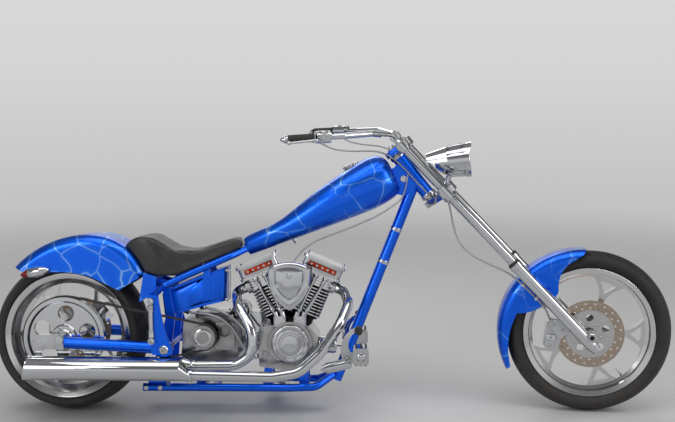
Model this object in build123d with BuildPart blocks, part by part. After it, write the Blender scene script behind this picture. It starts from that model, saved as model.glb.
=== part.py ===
# Chopper motorcycle, resting on its side stand, in named sub-parts.
# Millimetres. It is modelled upright and straight: X forward, Y to the rider's left, Z up,
# with the origin on the ground under the rear axle. The last section turns the steering,
# leans the whole machine onto its stand and moves the origin under its middle.
import math
import os

from build123d import *

os.makedirs("parts", exist_ok=True)

# Wheels
wheelbase = 2260.0
rear_radius = 330.0
front_radius = 352.0
axle_radius = 12.5
running_gap = 0.05

# Fork and steering head
neck_rake = 38.8
neck_x = 1417.0
neck_z = 1121.0
fork_rake = 43.8
fork_spread = 120.0
axle_lead = 24.0
fork_tube_radius = 20.5
fork_slider_radius = 27.0
bar_radius = 12.7
hose_radius = 4.0
axle_bore = 8.0
yoke_sweep = 62.0

# Engine and drive
crank_x = 963.0
crank_z = 292.0
cylinder_angle = 22.5
bore_radius = 52.0
fin_pitch = 14.0
fin_thickness = 5.0
pipe_radius = 22.0
muffler_z = 219.0
inner_muffler_z = 224.0
outlet_depth = 62.0
belt_y = -152.0
belt_width = 32.0
belt_thickness = 5.0
pulley_radius = 172.0
sprocket_x = 595.0
sprocket_z = 332.0
sprocket_radius = 52.0

# Frame and rear arm
arm_y = 204.0
arm_radius = 25.0
plate_y = 236.0
strut_y = 250.0
pivot_x = 442.0
pivot_z = 291.0
pivot_radius = 15.0
backbone_radius = 22.0
down_tube_radius = 24.0
seat_rail_radius = 15.0
gusset_half = 26.0
rail_y = 115.0
rail_z = 109.0
rail_radius = 17.0

# Bodywork
fender_wall = 4.0
fender_half = 146.0
tank_x = 760.0
tank_z = 728.0

# Side stand, folded out
stand_x = 840.0
stand_y = 178.0
stand_z = 104.0
stand_foot = 30.3
stand_axis = (0.111, 0.329, 0.937)
stand_pin = 8.0

# Parked pose
turn_angle = -7.0
lean_angle = 5.5
pitch_angle = 0.0254
lift = 1.3
middle_x = 1140.0
middle_y = 131.0


def side(y, x=0.0, z=0.0):
    """The lengthwise plane at this Y, seen from the right; extrusions grow towards the right."""
    return Plane(origin=(x, y, z), x_dir=(1, 0, 0), z_dir=(0, -1, 0))


def across(x, z):
    """The plane that cuts the machine across at this X."""
    return Plane(origin=(x, 0, z), x_dir=(0, 1, 0), z_dir=(1, 0, 0))


def tube(points, radius, bend=0.0, bore=0.0):
    """A round tube along straight runs joined by equal bends."""
    with BuildPart() as piece:
        with BuildLine() as run:
            if len(points) > 2:
                FilletPolyline(*points, radius=bend)
            else:
                Line(*points)
        with BuildSketch(run.line ^ 0):
            Circle(radius)
            if bore:
                Circle(bore, mode=Mode.SUBTRACT)
        sweep()
    return piece.part


def bends_of(points, most):
    """Bend radii as large as the runs beside each corner allow, up to this most."""
    corners = [Vector(*p) for p in points]
    bends = []
    for before, here, after in zip(corners, corners[1:], corners[2:]):
        shorter = min((here - before).length, (after - here).length)
        turn = math.radians((here - before).get_angle(after - here))
        bends.append(min(most, 0.45 * shorter / math.tan(turn / 2)))
    return bends


def cable(points, radius):
    """A cable or hose along gentle arcs; its tightest bend is printed."""
    bends = bends_of(points, 1000)
    print("tightest bend", round(min(bends), 1), "mm for a radius of", radius)
    return tube(points, radius, bends)


def channel(path, half, depth, corner, wall):
    """A fender's arched sheet, open below; the path runs with its outer side on the left."""
    start = Plane(origin=path @ 0, x_dir=(0, 1, 0), z_dir=path % 0)
    with BuildPart() as piece:
        with BuildSketch(start):
            with BuildLine():
                FilletPolyline((-half, -depth), (-half, 0), (half, 0), (half, -depth), radius=corner)
                Line((half, -depth), (half - wall, -depth))
                FilletPolyline((half - wall, -depth), (half - wall, -wall), (wall - half, -wall),
                               (wall - half, -depth), radius=corner - wall)
                Line((wall - half, -depth), (-half, -depth))
            make_face()
        sweep(path=path)
    return piece.part


# Rear wheel: low, wide tyre
rear_axis = Axis((0, 0, rear_radius), (0, 1, 0))
with BuildPart() as rear_tyre:
    with BuildSketch(across(0, rear_radius)):
        with BuildLine():
            ThreePointArc((-114, 305), (0, 330), (114, 305))
            ThreePointArc((114, 305), (124.5, 289), (108.5, 270))
            Polyline((108.5, 270), (102, 254), (86, 254))
            ThreePointArc((86, 254), (104, 282), (88, 304))
            ThreePointArc((88, 304), (0, 319), (-88, 304))
            ThreePointArc((-88, 304), (-104, 282), (-86, 254))
            Polyline((-86, 254), (-102, 254), (-108.5, 270))
            ThreePointArc((-108.5, 270), (-124.5, 289), (-114, 305))
        make_face()
    revolve(axis=rear_axis)

# Rear wheel: deep polished rim with five forked spokes
with BuildSketch() as rear_spoke:
    with BuildLine():
        ThreePointArc((40, 36), (150, 16), (218, 70))
        ThreePointArc((218, 70), (229, 0), (218, -70))
        ThreePointArc((218, -70), (150, -16), (40, -36))
        Line((40, -36), (40, 36))
    make_face()
    with BuildLine():
        Line((166, 0), (207, 34))
        ThreePointArc((207, 34), (211, 0), (207, -34))
        Line((207, -34), (166, 0))
    make_face(mode=Mode.SUBTRACT)

with BuildPart() as rear_rim:
    with BuildSketch(across(0, rear_radius)):
        with BuildLine():
            Polyline((-104, 253.6), (-78, 253.6), (-62, 232), (62, 232), (78, 253.6), (104, 253.6), (110.2, 268.8))
            ThreePointArc((110.2, 268.8), (112.4, 270.6), (115, 268))
            Polyline((115, 268), (107, 247), (76, 241), (56, 222), (-56, 222), (-76, 241), (-107, 247), (-115, 268))
            ThreePointArc((-115, 268), (-112.4, 270.6), (-110.2, 268.8))
            Line((-110.2, 268.8), (-104, 253.6))
        make_face()
    revolve(axis=rear_axis)
    with BuildSketch(side(24, 0, rear_radius)):
        Circle(64)
        with PolarLocations(0, 5, start_angle=50):
            add(rear_spoke.sketch)
    extrude(amount=36)
    with BuildSketch(side(-12, 0, rear_radius)):
        Circle(62)
    extrude(amount=78, taper=14)
    with BuildSketch(side(24, 0, rear_radius)):
        Circle(62)
    extrude(amount=-66, taper=14)
    with BuildSketch(side(140, 0, rear_radius)):
        Circle(axle_radius + running_gap)
    extrude(amount=280, mode=Mode.SUBTRACT)

# Rear wheel: belt pulley on the right, with five round windows
with BuildPart() as rear_pulley:
    with BuildSketch(across(0, rear_radius)):
        with BuildLine():
            Polyline((-134, 12.55), (-134, 50), (-144, 56), (-144, 148), (-134, 156), (-134, 172), (-170, 172),
                     (-170, 156), (-160, 148), (-160, 56), (-170, 50), (-170, 34), (-174, 30), (-174, 12.55),
                     (-134, 12.55))
        make_face()
    revolve(axis=rear_axis)
    with BuildSketch(side(-130, 0, rear_radius)):
        with PolarLocations(102, 5, start_angle=14):
            Circle(35)
    extrude(amount=60, mode=Mode.SUBTRACT)
    with BuildSketch(side(-90, 0, rear_radius)):
        Circle(42)
        Circle(axle_radius + running_gap, mode=Mode.SUBTRACT)
    extrude(amount=44)

# Rear wheel: drilled brake disc on the left
with BuildPart() as rear_disc:
    with BuildSketch(side(97, 0, rear_radius)):
        Circle(142)
        Circle(96, mode=Mode.SUBTRACT)
        with PolarLocations(110, 16):
            Circle(4.5, mode=Mode.SUBTRACT)
        with PolarLocations(128, 16, start_angle=11):
            Circle(4.5, mode=Mode.SUBTRACT)
    extrude(amount=5)
    with BuildSketch(side(97, 0, rear_radius)):
        Circle(98)
        Circle(axle_radius + running_gap, mode=Mode.SUBTRACT)
        with PolarLocations(68, 5):
            Circle(15, mode=Mode.SUBTRACT)
    extrude(amount=7)

# Front wheel: tall narrow tyre
front_axis = Axis((wheelbase, 0, front_radius), (0, 1, 0))
with BuildPart() as front_tyre:
    with BuildSketch(across(wheelbase, front_radius)):
        with BuildLine():
            ThreePointArc((-51, 328), (0, 352), (51, 328))
            ThreePointArc((51, 328), (59.5, 303), (41, 281))
            Polyline((41, 281), (36.2, 267), (24, 267))
            ThreePointArc((24, 267), (44, 304), (32, 326))
            ThreePointArc((32, 326), (0, 339), (-32, 326))
            ThreePointArc((-32, 326), (-44, 304), (-24, 267))
            Polyline((-24, 267), (-36.2, 267), (-41, 281))
            ThreePointArc((-41, 281), (-59.5, 303), (-51, 328))
        make_face()
    revolve(axis=front_axis)

# Front wheel: polished rim with five forked spokes
with BuildSketch() as front_spoke:
    with BuildLine():
        ThreePointArc((40, 36), (158, 15), (234, 74))
        ThreePointArc((234, 74), (245.5, 0), (234, -74))
        ThreePointArc((234, -74), (158, -15), (40, -36))
        Line((40, -36), (40, 36))
    make_face()
    with BuildLine():
        Line((178, 0), (222, 36))
        ThreePointArc((222, 36), (227, 0), (222, -36))
        Line((222, -36), (178, 0))
    make_face(mode=Mode.SUBTRACT)

with BuildPart() as front_rim:
    with BuildSketch(across(wheelbase, front_radius)):
        with BuildLine():
            Polyline((-38, 266.6), (-22, 266.6), (-15, 251), (15, 251), (22, 266.6), (38, 266.6), (43, 280.5))
            ThreePointArc((43, 280.5), (45.3, 282.4), (48, 279.5))
            Polyline((48, 279.5), (41, 260), (22, 256), (15, 242), (-15, 242), (-22, 256), (-41, 260), (-48, 279.5))
            ThreePointArc((-48, 279.5), (-45.3, 282.4), (-43, 280.5))
            Line((-43, 280.5), (-38, 266.6))
        make_face()
    revolve(axis=front_axis)
    with BuildSketch(side(14, wheelbase, front_radius)):
        Circle(60)
        with PolarLocations(0, 5, start_angle=-3):
            add(front_spoke.sketch)
    extrude(amount=28)
    for face, long in ((14, -50), (-14, 50)):
        with BuildSketch(side(face, wheelbase, front_radius)):
            Circle(44)
        extrude(amount=long, taper=10)
    with BuildSketch(side(80, wheelbase, front_radius)):
        Circle(axle_radius + running_gap)
    extrude(amount=160, mode=Mode.SUBTRACT)

# Front wheel: drilled brake disc on the right, on a carrier with five windows
with BuildPart() as front_disc:
    with BuildSketch(side(-64, wheelbase, front_radius)):
        Circle(146)
        Circle(98, mode=Mode.SUBTRACT)
        with PolarLocations(112, 20):
            Circle(4.5, mode=Mode.SUBTRACT)
        with PolarLocations(131, 20, start_angle=9):
            Circle(4.5, mode=Mode.SUBTRACT)
    extrude(amount=5)
    with BuildSketch(side(-64, wheelbase, front_radius)):
        Circle(100)
        Circle(axle_radius + running_gap, mode=Mode.SUBTRACT)
        with PolarLocations(70, 5, start_angle=20):
            Circle(16, mode=Mode.SUBTRACT)
    extrude(amount=8)

# Fork: polished tubes in chrome lower legs, raked five degrees more than the steering head
fork_down = (math.sin(math.radians(fork_rake)), -math.cos(math.radians(fork_rake)))
foot_x = wheelbase - axle_lead * math.cos(math.radians(fork_rake))
foot_z = front_radius - axle_lead * math.sin(math.radians(fork_rake))
fork_sides = (-fork_spread, fork_spread)


def fork_plane(y, above):
    """The plane square to a fork leg, at this height along it above the foot."""
    return Plane(origin=(foot_x - fork_down[0] * above, y, foot_z - fork_down[1] * above),
                 x_dir=(-fork_down[1], 0, fork_down[0]), z_dir=(-fork_down[0], 0, -fork_down[1]))


with BuildPart() as fork_tubes:
    for y in fork_sides:
        with BuildSketch(fork_plane(y, 380)):
            Circle(fork_tube_radius)
        extrude(amount=782)
        with BuildSketch(fork_plane(y, 1162)):
            Circle(fork_tube_radius - 5)
        extrude(amount=9, taper=25)

# Route of the front brake hose: from under the lower yoke, down behind the right leg
hose_route = [(1647, -85, 934), (1660, -92, 880), (1672, -102, 815), (1698, -112, 745), (1755, -118, 690),
              (1830, -120, 655), (1900, -120, 625), (1955, -120, 584), (2012, -119, 527), (2066, -112, 470),
              (2089, -84, 413)]

with BuildPart() as brake_hose:
    add(cable(hose_route, hose_radius))

with BuildPart() as fork_sliders:
    for y in fork_sides:
        with BuildSketch(fork_plane(y, -62)):
            Circle(20)
        with BuildSketch(fork_plane(y, -30)):
            Circle(fork_slider_radius)
        loft()
        with BuildSketch(fork_plane(y, -30)):
            Circle(fork_slider_radius)
        extrude(amount=478)
        with BuildSketch(fork_plane(y, 428)):
            Circle(fork_slider_radius + 3)
        extrude(amount=20)
        with BuildSketch(side(y + 24, wheelbase, front_radius)):
            Circle(24)
        extrude(amount=48)
    for start, way in ((hose_route[7], (0.69, 0, -0.72)), (hose_route[8], (0.69, 0, -0.72))):
        with BuildSketch(Plane(origin=start, z_dir=way).offset(14)):
            Circle(10)
        extrude(amount=12)
    add(brake_hose.part, mode=Mode.SUBTRACT)
    for y in fork_sides:
        with BuildSketch(fork_plane(y, 380)):
            Circle(fork_tube_radius)
        extrude(amount=80, mode=Mode.SUBTRACT)
    with BuildSketch(side(160, wheelbase, front_radius)):
        Circle(axle_radius)
    extrude(amount=320, mode=Mode.SUBTRACT)

# Front axle: a hollow shaft with its spacers
with BuildPart() as front_axle:
    with BuildSketch(side(fork_spread + 30, wheelbase, front_radius)):
        Circle(axle_radius)
    extrude(amount=2 * fork_spread + 60)
    for face, long in ((93, 27), (-74, 19)):
        with BuildSketch(side(face, wheelbase, front_radius)):
            Circle(18)
        extrude(amount=long)
    with BuildSketch(side(fork_spread + 30, wheelbase, front_radius)):
        Circle(axle_bore)
    extrude(amount=2 * fork_spread + 60, mode=Mode.SUBTRACT)

# Steering head
neck_down = (math.sin(math.radians(neck_rake)), -math.cos(math.radians(neck_rake)))


def at_neck(down, ahead, y=0.0):
    """A point given by its distance down the steering axis and ahead of it."""
    return (neck_x + neck_down[0] * down - neck_down[1] * ahead, y,
            neck_z + neck_down[1] * down + neck_down[0] * ahead)


def neck_plane(down, y=0.0):
    """The plane square to the steering axis at this distance down it."""
    return Plane(origin=at_neck(down, 0, y), x_dir=(-neck_down[1], 0, neck_down[0]),
                 z_dir=(-neck_down[0], 0, -neck_down[1]))


with BuildPart() as neck_core:
    with BuildSketch(neck_plane(300)):
        Circle(31)
    extrude(amount=400)

# Control cables: on the bars they follow the steering, on the frame they run below the tank
with BuildPart() as bar_cables:
    for s in (-1, 1):
        route = [(1138, 334, 1178), (1180, 318, 1156), (1238, 284, 1146), (1290, 238, 1144), (1340, 186, 1142),
                 (1384, 142, 1128), (1424, 108, 1098), (1466, 84, 1056), (1508, 72, 1006), (1548, 68, 966),
                 at_neck(248, 6, 66)]
        add(cable([(x, s * y, z) for x, y, z in route], 3.5))

with BuildPart() as frame_cables:
    add(cable([at_neck(104, -16, -50), (1462, -50, 978), (1446, -58, 924), (1392, -70, 884), (1334, -76, 848),
               (1268, -78, 818), (1200, -76, 790), (1130, -70, 764), (1068, -62, 738), (1016, -64, 702),
               (974, -82, 651)], 3.5))

with BuildPart() as upper_yoke:
    with BuildSketch(neck_plane(2)):
        with BuildLine():
            Polyline((-38, -40), (-38, 40), (30, 146), (84, 146), (88, 96), (56, 30), (56, -30), (88, -96),
                     (84, -146), (30, -146), (-38, -40))
        make_face()
    extrude(amount=26)
    fillet(upper_yoke.edges().filter_by(lambda e: abs(e.length - 26) < 0.1), 8)
    for y in fork_sides:
        with BuildSketch(fork_plane(y, 1118)):
            Circle(31)
        extrude(amount=38)
        with BuildSketch(fork_plane(y, 1000)):
            Circle(fork_tube_radius)
        extrude(amount=200, mode=Mode.SUBTRACT)

with BuildPart() as lower_yoke:
    with BuildSketch(neck_plane(276)):
        with BuildLine():
            Polyline((-36, -40), (-36, 40), (50, 148), (112, 148), (112, 92), (76, 30), (76, -30), (112, -92),
                     (112, -148), (50, -148), (-36, -40))
        make_face()
    extrude(amount=28)
    fillet(lower_yoke.edges().filter_by(lambda e: abs(e.length - 28) < 0.1), 8)
    for y in fork_sides:
        with BuildSketch(fork_plane(y, 838)):
            Circle(33)
        extrude(amount=62)
        with BuildSketch(fork_plane(y, 700)):
            Circle(fork_tube_radius)
        extrude(amount=200, mode=Mode.SUBTRACT)
    with BuildSketch(neck_plane(276)):
        Circle(25 - running_gap)
    extrude(amount=274)
    with BuildSketch(Plane(origin=hose_route[0], z_dir=(-neck_down[0], 0, -neck_down[1]))):
        Circle(9)
    extrude(amount=16)
    add(brake_hose.part, mode=Mode.SUBTRACT)
    add(bar_cables.part, mode=Mode.SUBTRACT)

# Handlebar on two risers, swept back to the rider
bar_half = [(1330, 200, 1215), (1223, 290, 1209), (1112, 345, 1204)]
with BuildPart() as handlebar:
    left_half = [at_neck(-56, 45, 50), (1396, 95, 1203)] + bar_half
    right_half = [(x, -y, z) for x, y, z in reversed(left_half)]
    add(tube(right_half + left_half, bar_radius, 38))
    for y in (-45, 45):
        with BuildSketch(neck_plane(-24, y)):
            with Locations((45, 0)):
                Circle(17)
        extrude(amount=26)
        with BuildSketch(side(y + 14, at_neck(-56, 45)[0], at_neck(-56, 45)[2])):
            Circle(22)
        extrude(amount=28)

# Grips, and the levers with their reservoirs
with BuildPart() as grips:
    for s in (-1, 1):
        add(tube([(1106, s * 348, 1204), (1000, s * 396, 1198)], 17))
        add(tube([(1000, s * 396, 1198), (975, s * 407, 1196.6)], 10))

with BuildPart() as hand_controls:
    for s in (-1, 1):
        add(tube([(1168, s * 317.3, 1206.5), (1112, s * 345.5, 1204.4)], 25))
        add(tube([(1165, s * 330, 1212), (1121, s * 352, 1210)], 18))
        add(tube([(1150, s * 345, 1200), (1126, s * 395, 1196), (1020, s * 437, 1186)], 5, 20))
        add(tube([(1140, s * 332, 1196), (1136, s * 336, 1176)], 9))
    add(handlebar.part, mode=Mode.SUBTRACT)
    add(bar_cables.part, mode=Mode.SUBTRACT)

# Headlight: a domed shell with a dished front, under a slotted peak
lamp_x = 1590.0
lamp_z = 1078.0
lamp_way = (0.993, 0, 0.119)
lamp_axis = Axis((lamp_x, 0, lamp_z), lamp_way)
lamp_plane = Plane(origin=(lamp_x, 0, lamp_z), x_dir=lamp_way, z_dir=(0, -1, 0))
with BuildPart() as lamp_peak:
    with BuildSketch(lamp_plane):
        Polygon((-36, 43), (56, 65), (120, 72), (164, 74), (164, 77.5), (120, 75.5), (54, 68.5), (-36, 47),
                align=None)
    revolve(axis=lamp_axis)
    with BuildSketch(lamp_plane.offset(100)):
        Polygon((-60, 18), (40, -8), (140, -18), (150, 30), (170, 78), (200, 78), (200, -120), (-60, -120),
                align=None)
    extrude(amount=-200, mode=Mode.SUBTRACT)
    for turn in (-60, -36, -12, 12, 36, 60):
        out = (-lamp_way[2] * math.cos(math.radians(turn)), math.sin(math.radians(turn)),
               lamp_way[0] * math.cos(math.radians(turn)))
        with BuildSketch(Plane(origin=(lamp_x, 0, lamp_z), x_dir=lamp_way, z_dir=out).offset(50)):
            with Locations((96, 0)):
                SlotOverall(86, 8)
        extrude(amount=40, mode=Mode.SUBTRACT)

with BuildPart() as headlight:
    with BuildSketch(lamp_plane):
        with BuildLine():
            Line((0, 0), (0, 26))
            ThreePointArc((0, 26), (44, 57), (128, 70))
            Polyline((128, 70), (128, 74), (146, 74), (146, 66), (136, 66), (124, 38), (120, 0), (0, 0))
        make_face()
    revolve(axis=lamp_axis)
    add(tube([at_neck(252, 60), (1656, 0, 1030)], 12))
    add(lamp_peak.part)
    add(lower_yoke.part, mode=Mode.SUBTRACT)

# Front brake caliper, over the disc behind the right leg
with BuildPart() as front_caliper:
    with BuildSketch(side(-48, wheelbase - 158, front_radius)):
        RectangleRounded(70, 120, 18, rotation=-10)
    extrude(amount=44)
    with BuildSketch(side(-61, wheelbase, front_radius)):
        Circle(150)
    extrude(amount=13, mode=Mode.SUBTRACT)
    with BuildSketch(side(-92)):
        Polygon((2080, 400), (2120, 420), (2198, 440), (2210, 402), (2130, 330), align=None)
    extrude(amount=10)
    with BuildSketch(fork_plane(-fork_spread, -30)):
        Circle(fork_slider_radius)
    extrude(amount=478, mode=Mode.SUBTRACT)
    add(brake_hose.part, mode=Mode.SUBTRACT)

# Front fender: an arched sheet cut to a curving lower edge, on two stays
with BuildPart() as front_fender:
    with BuildLine(side(0)) as front_arc:
        ThreePointArc((1907, 182), (1924, 546), (2241, 713.5))
    add(channel(front_arc.line, 78, 172, 42, fender_wall))
    with BuildSketch(side(100)):
        with BuildLine():
            Line((1907, 182), (1926, 200))
            ThreePointArc((1926, 200), (1914, 310), (1950, 438))
            ThreePointArc((1950, 438), (2014, 448), (2084, 500))
            ThreePointArc((2084, 500), (2112, 514), (2124, 540))
            ThreePointArc((2124, 540), (2130, 602), (2165, 655))
            Polyline((2165, 655), (2225, 694), (2241, 713.5), (2420, 713.5), (2420, 100), (1900, 100),
                     (1907, 182))
        make_face()
    extrude(amount=200, mode=Mode.SUBTRACT)
    for y in (-88, 88):
        with BuildSketch(side(y + 12)):
            Polygon((2044, 532), (2086, 552), (2104, 516), (2062, 496), align=None)
        extrude(amount=24)
    add(fork_sliders.part, mode=Mode.SUBTRACT)

# Frame: backbone, down tube and the head they meet in
backbone_run = [at_neck(80, -20), (1290, 0, 1005), (1000, 0, 838), (762, 0, 702)]
with BuildPart() as backbone:
    add(tube(backbone_run, backbone_radius, 60))
    add(neck_core.part, mode=Mode.SUBTRACT)

with BuildPart() as down_tube:
    add(tube([(1512, 0, 1020), (1160, 0, 126)], down_tube_radius))
    add(neck_core.part, mode=Mode.SUBTRACT)
    split(bisect_by=Plane((1530, 0, 960), z_dir=(0.65, 0, 0.76)), keep=Keep.BOTTOM)
    add(backbone.part, mode=Mode.SUBTRACT)

with BuildPart() as steering_neck:
    with BuildSketch(neck_plane(234)):
        Circle(31)
    extrude(amount=220)
    for low in (240, 24):
        with BuildSketch(neck_plane(low)):
            Circle(35)
        extrude(amount=18)
    with BuildSketch(side(gusset_half)):
        Polygon((1396, 948), (1456, 936), (1526, 1000), (1440, 1092), (1404, 1052), align=None)
    extrude(amount=2 * gusset_half)
    for s in (-1, 1):
        add(tube([at_neck(104, -16, s * 20), at_neck(104, -16, s * 52)], 7))
    with BuildSketch(neck_plane(300)):
        Circle(25)
    extrude(amount=400, mode=Mode.SUBTRACT)
    add(backbone.part, mode=Mode.SUBTRACT)
    add(down_tube.part, mode=Mode.SUBTRACT)
    add(frame_cables.part, mode=Mode.SUBTRACT)

# Arm plates: they carry the swinging arm, the rear frame and the struts on each side
with BuildPart() as arm_plates:
    for s in (-1, 1):
        with BuildSketch(side(s * plate_y + 5)):
            with BuildLine():
                Line((372, 526), (418, 519))
                ThreePointArc((418, 519), (440, 400), (473, 303))
                ThreePointArc((473, 303), (478, 286), (462, 270))
                Line((462, 270), (396, 270))
                ThreePointArc((396, 270), (388, 282), (396, 300))
                ThreePointArc((396, 300), (392, 400), (378, 488))
                Line((378, 488), (372, 526))
            make_face()
        extrude(amount=10)

# Seat rails, with the cross tubes that carry the seat and the fender
with BuildPart() as seat_rails:
    for s in (-1, 1):
        add(tube([(762, s * 30, 700), (700, s * 80, 672), (560, s * 128, 612), (425, s * 150, 552),
                  (392, s * 231, 516)], seat_rail_radius, 30))
    add(tube([(560, -128, 612), (560, 128, 612)], 13))
    add(tube([(425, -150, 552), (425, 150, 552)], 12))
    add(arm_plates.part, mode=Mode.SUBTRACT)
    add(backbone.part, mode=Mode.SUBTRACT)

# Lower rails with their cross members, engine feet and the side stand's bracket
stand_plane = Plane(origin=(stand_x, stand_y, stand_z), z_dir=stand_axis)
with BuildPart() as cradle_rails:
    for s in (-1, 1):
        add(tube([(1146, s * 30, 150), (1075, s * rail_y * 0.8, rail_z), (960, s * rail_y, rail_z),
                  (330, s * rail_y, rail_z)], rail_radius, 60))
    add(tube([(640, -rail_y, rail_z), (640, rail_y, rail_z)], 14))
    add(tube([(352, -rail_y, rail_z), (352, rail_y, rail_z)], 14))
    for x, foot_top in ((866, 206), (1022, 190), (575, 204)):
        with BuildSketch(Plane.XY.offset(rail_z)):
            with Locations((x, 0)):
                RectangleRounded(46, 2 * rail_y, 8)
        extrude(amount=rail_radius)
        for y in (-55, 55):
            with BuildSketch(side(y + 11)):
                Polygon((x - 22, rail_z + 12), (x + 22, rail_z + 12), (x + 15, foot_top), (x - 15, foot_top),
                        align=None)
            extrude(amount=22)
    add(down_tube.part, mode=Mode.SUBTRACT)
    for face in (-22, 14):
        with BuildSketch(stand_plane.offset(face)):
            Circle(18)
            Polygon((-40, -70), (40, -70), (18, 0), (-18, 0), align=None)
        extrude(amount=8)
    with BuildSketch(stand_plane.offset(-24)):
        Circle(stand_pin)
    extrude(amount=48)

# Uprights inside the tyre's line, with the shaft of the swinging arm
with BuildPart() as rear_uprights:
    for s in (-1, 1):
        with BuildSketch(side(s * 100 + 6)):
            Polygon((350, 92), (440, 92), (452, 300), (466, 420), (442, 562), (408, 562), (428, 420), (396, 300),
                    (350, 130), align=None)
        extrude(amount=12)
    add(cradle_rails.part, mode=Mode.SUBTRACT)
    add(seat_rails.part, mode=Mode.SUBTRACT)
    with BuildSketch(side(plate_y - 5, pivot_x, pivot_z)):
        Circle(pivot_radius)
    extrude(amount=2 * plate_y - 10)

# Swinging arm
with BuildPart() as swing_arm:
    for s in (-1, 1):
        add(tube([(13, s * arm_y, 314), (400, s * arm_y, 294)], arm_radius))
        with BuildSketch(side(s * arm_y + 26, pivot_x, pivot_z)):
            Circle(30)
        extrude(amount=52)
        with BuildSketch(side(s * arm_y + 26, pivot_x, pivot_z)):
            Circle(pivot_radius)
        extrude(amount=52, mode=Mode.SUBTRACT)

# Rear axle in its blocks, with its hexagon ends and spacers
with BuildPart() as rear_axle:
    for s in (-1, 1):
        with BuildSketch(side(s * arm_y + 24)):
            Polygon((-112, 314), (-88, 288), (15, 288), (15, 350), (-88, 350), align=None)
        extrude(amount=48)
    add(swing_arm.part, mode=Mode.SUBTRACT)
    with BuildSketch(side(236, 0, rear_radius)):
        Circle(axle_radius)
    extrude(amount=472)
    for face, long in ((242, 14), (-228, 14)):
        with BuildSketch(side(face, 0, rear_radius)):
            RegularPolygon(18, 6)
        extrude(amount=long)
    for face, long in ((180, 80), (-178, 2)):
        with BuildSketch(side(face, 0, rear_radius)):
            Circle(19)
        extrude(amount=long)

# Struts between the arm plates and the frame, just outside the plates
with BuildPart() as rear_struts:
    for s in (-1, 1):
        for x, z in ((388, 497), (392, 330)):
            with BuildSketch(side(s * strut_y + 9, x, z)):
                Circle(14)
            extrude(amount=18)
        add(tube([(388, s * strut_y, 497), (392, s * strut_y, 330)], 8))

# Rear brake caliper on the left, on a plate around the axle
with BuildPart() as rear_caliper:
    with BuildSketch(side(112, 104, rear_radius + 78)):
        RectangleRounded(96, 58, 16, rotation=-50)
    extrude(amount=34)
    with BuildSketch(side(112, 0, rear_radius)):
        Circle(32)
        Polygon((-22, 24), (60, 92), (110, 40), (20, -25), align=None)
    extrude(amount=8)
    with BuildSketch(side(99, 0, rear_radius)):
        Circle(146)
    extrude(amount=11, mode=Mode.SUBTRACT)
    with BuildSketch(side(120, 0, rear_radius)):
        Circle(19)
    extrude(amount=20, mode=Mode.SUBTRACT)
    add(tube([(96, 106, 372), (96, 196, 318)], 8))
    add(swing_arm.part, mode=Mode.SUBTRACT)

# Rear fender: an arched sheet over the tyre, stepping down to the frame in front
with BuildPart() as rear_fender:
    with BuildLine(side(0)) as fender_line:
        ThreePointArc((-226, 628), (-80, 730.4), (100, 768))
        ThreePointArc((100, 768), (222, 736.4), (313.4, 649.7))
        Line((313.4, 649.7), (343.1, 600.9))
    add(channel(fender_line.line, fender_half, 230, 46, fender_wall))
    with BuildSketch(side(fender_half)):
        Polygon((338, 606.6), (392, 590), (392, 520), (318, 480), align=None)
    extrude(amount=2 * fender_half)
    with BuildSketch(side(fender_half - fender_wall)):
        Polygon((300, 599), (341, 599), (388, 586), (388, 400), (300, 400), align=None)
    extrude(amount=2 * (fender_half - fender_wall), mode=Mode.SUBTRACT)
    with BuildSketch(side(200)):
        with BuildLine():
            Polyline((-226, 628), (-160, 596), (-89, 604))
            ThreePointArc((-89, 604), (2, 607), (104, 590))
            ThreePointArc((104, 590), (215, 537), (318, 480))
            Polyline((318, 480), (392, 521), (420, 300), (-420, 300), (-420, 628), (-226, 628))
        make_face()
    extrude(amount=400, mode=Mode.SUBTRACT)
    for y in (-60, 60):
        with BuildSketch(side(y + 8)):
            Polygon((386, 540), (425, 540), (425, 566), (386, 578), align=None)
        extrude(amount=16)
    add(seat_rails.part, mode=Mode.SUBTRACT)

# Rear lamps: pointed chrome shells on the fender's sides
# Columns: distance along the lamp, radius
lamp_sections = ((-64, 3), (-34, 17), (6, 23), (38, 18), (58, 5))
with BuildPart() as rear_lamps:
    for s in (-1, 1):
        for along, radius in lamp_sections:
            with BuildSketch(Plane(origin=(-122 + 0.98 * along, s * (fender_half + 12), 608 + 0.2 * along),
                                   x_dir=(0, 1, 0), z_dir=(0.98, 0, 0.2))):
                Circle(radius)
        loft()
    with BuildSketch(side(fender_half)):
        with Locations((-122, 608)):
            Rectangle(300, 200)
    extrude(amount=2 * fender_half, mode=Mode.SUBTRACT)

# Seat: one crowned pad along the rails and up the fender
with BuildPart() as seat:
    with BuildSketch(side(140)):
        with BuildLine():
            ThreePointArc((250, 720), (308, 757), (384, 741))
            Line((384, 741), (452, 706))
            ThreePointArc((452, 706), (525, 693), (611, 709))
            Polyline((611, 709), (737, 750.5), (748, 722), (744, 709.2), (470, 591.7), (394, 592), (342, 607),
                     (314.6, 650.5))
            ThreePointArc((314.6, 650.5), (285.6, 688.3), (250, 720))
        make_face()
    extrude(amount=280)
    with BuildSketch(Plane.XY.offset(500)):
        with BuildLine():
            ThreePointArc((240, -104), (330, -132), (480, -134))
            ThreePointArc((480, -134), (640, -100), (760, -58))
            Line((760, -58), (760, 58))
            ThreePointArc((760, 58), (640, 100), (480, 134))
            ThreePointArc((480, 134), (330, 132), (240, 104))
            Line((240, 104), (240, -104))
        make_face()
    extrude(amount=300, mode=Mode.INTERSECT)

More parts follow.
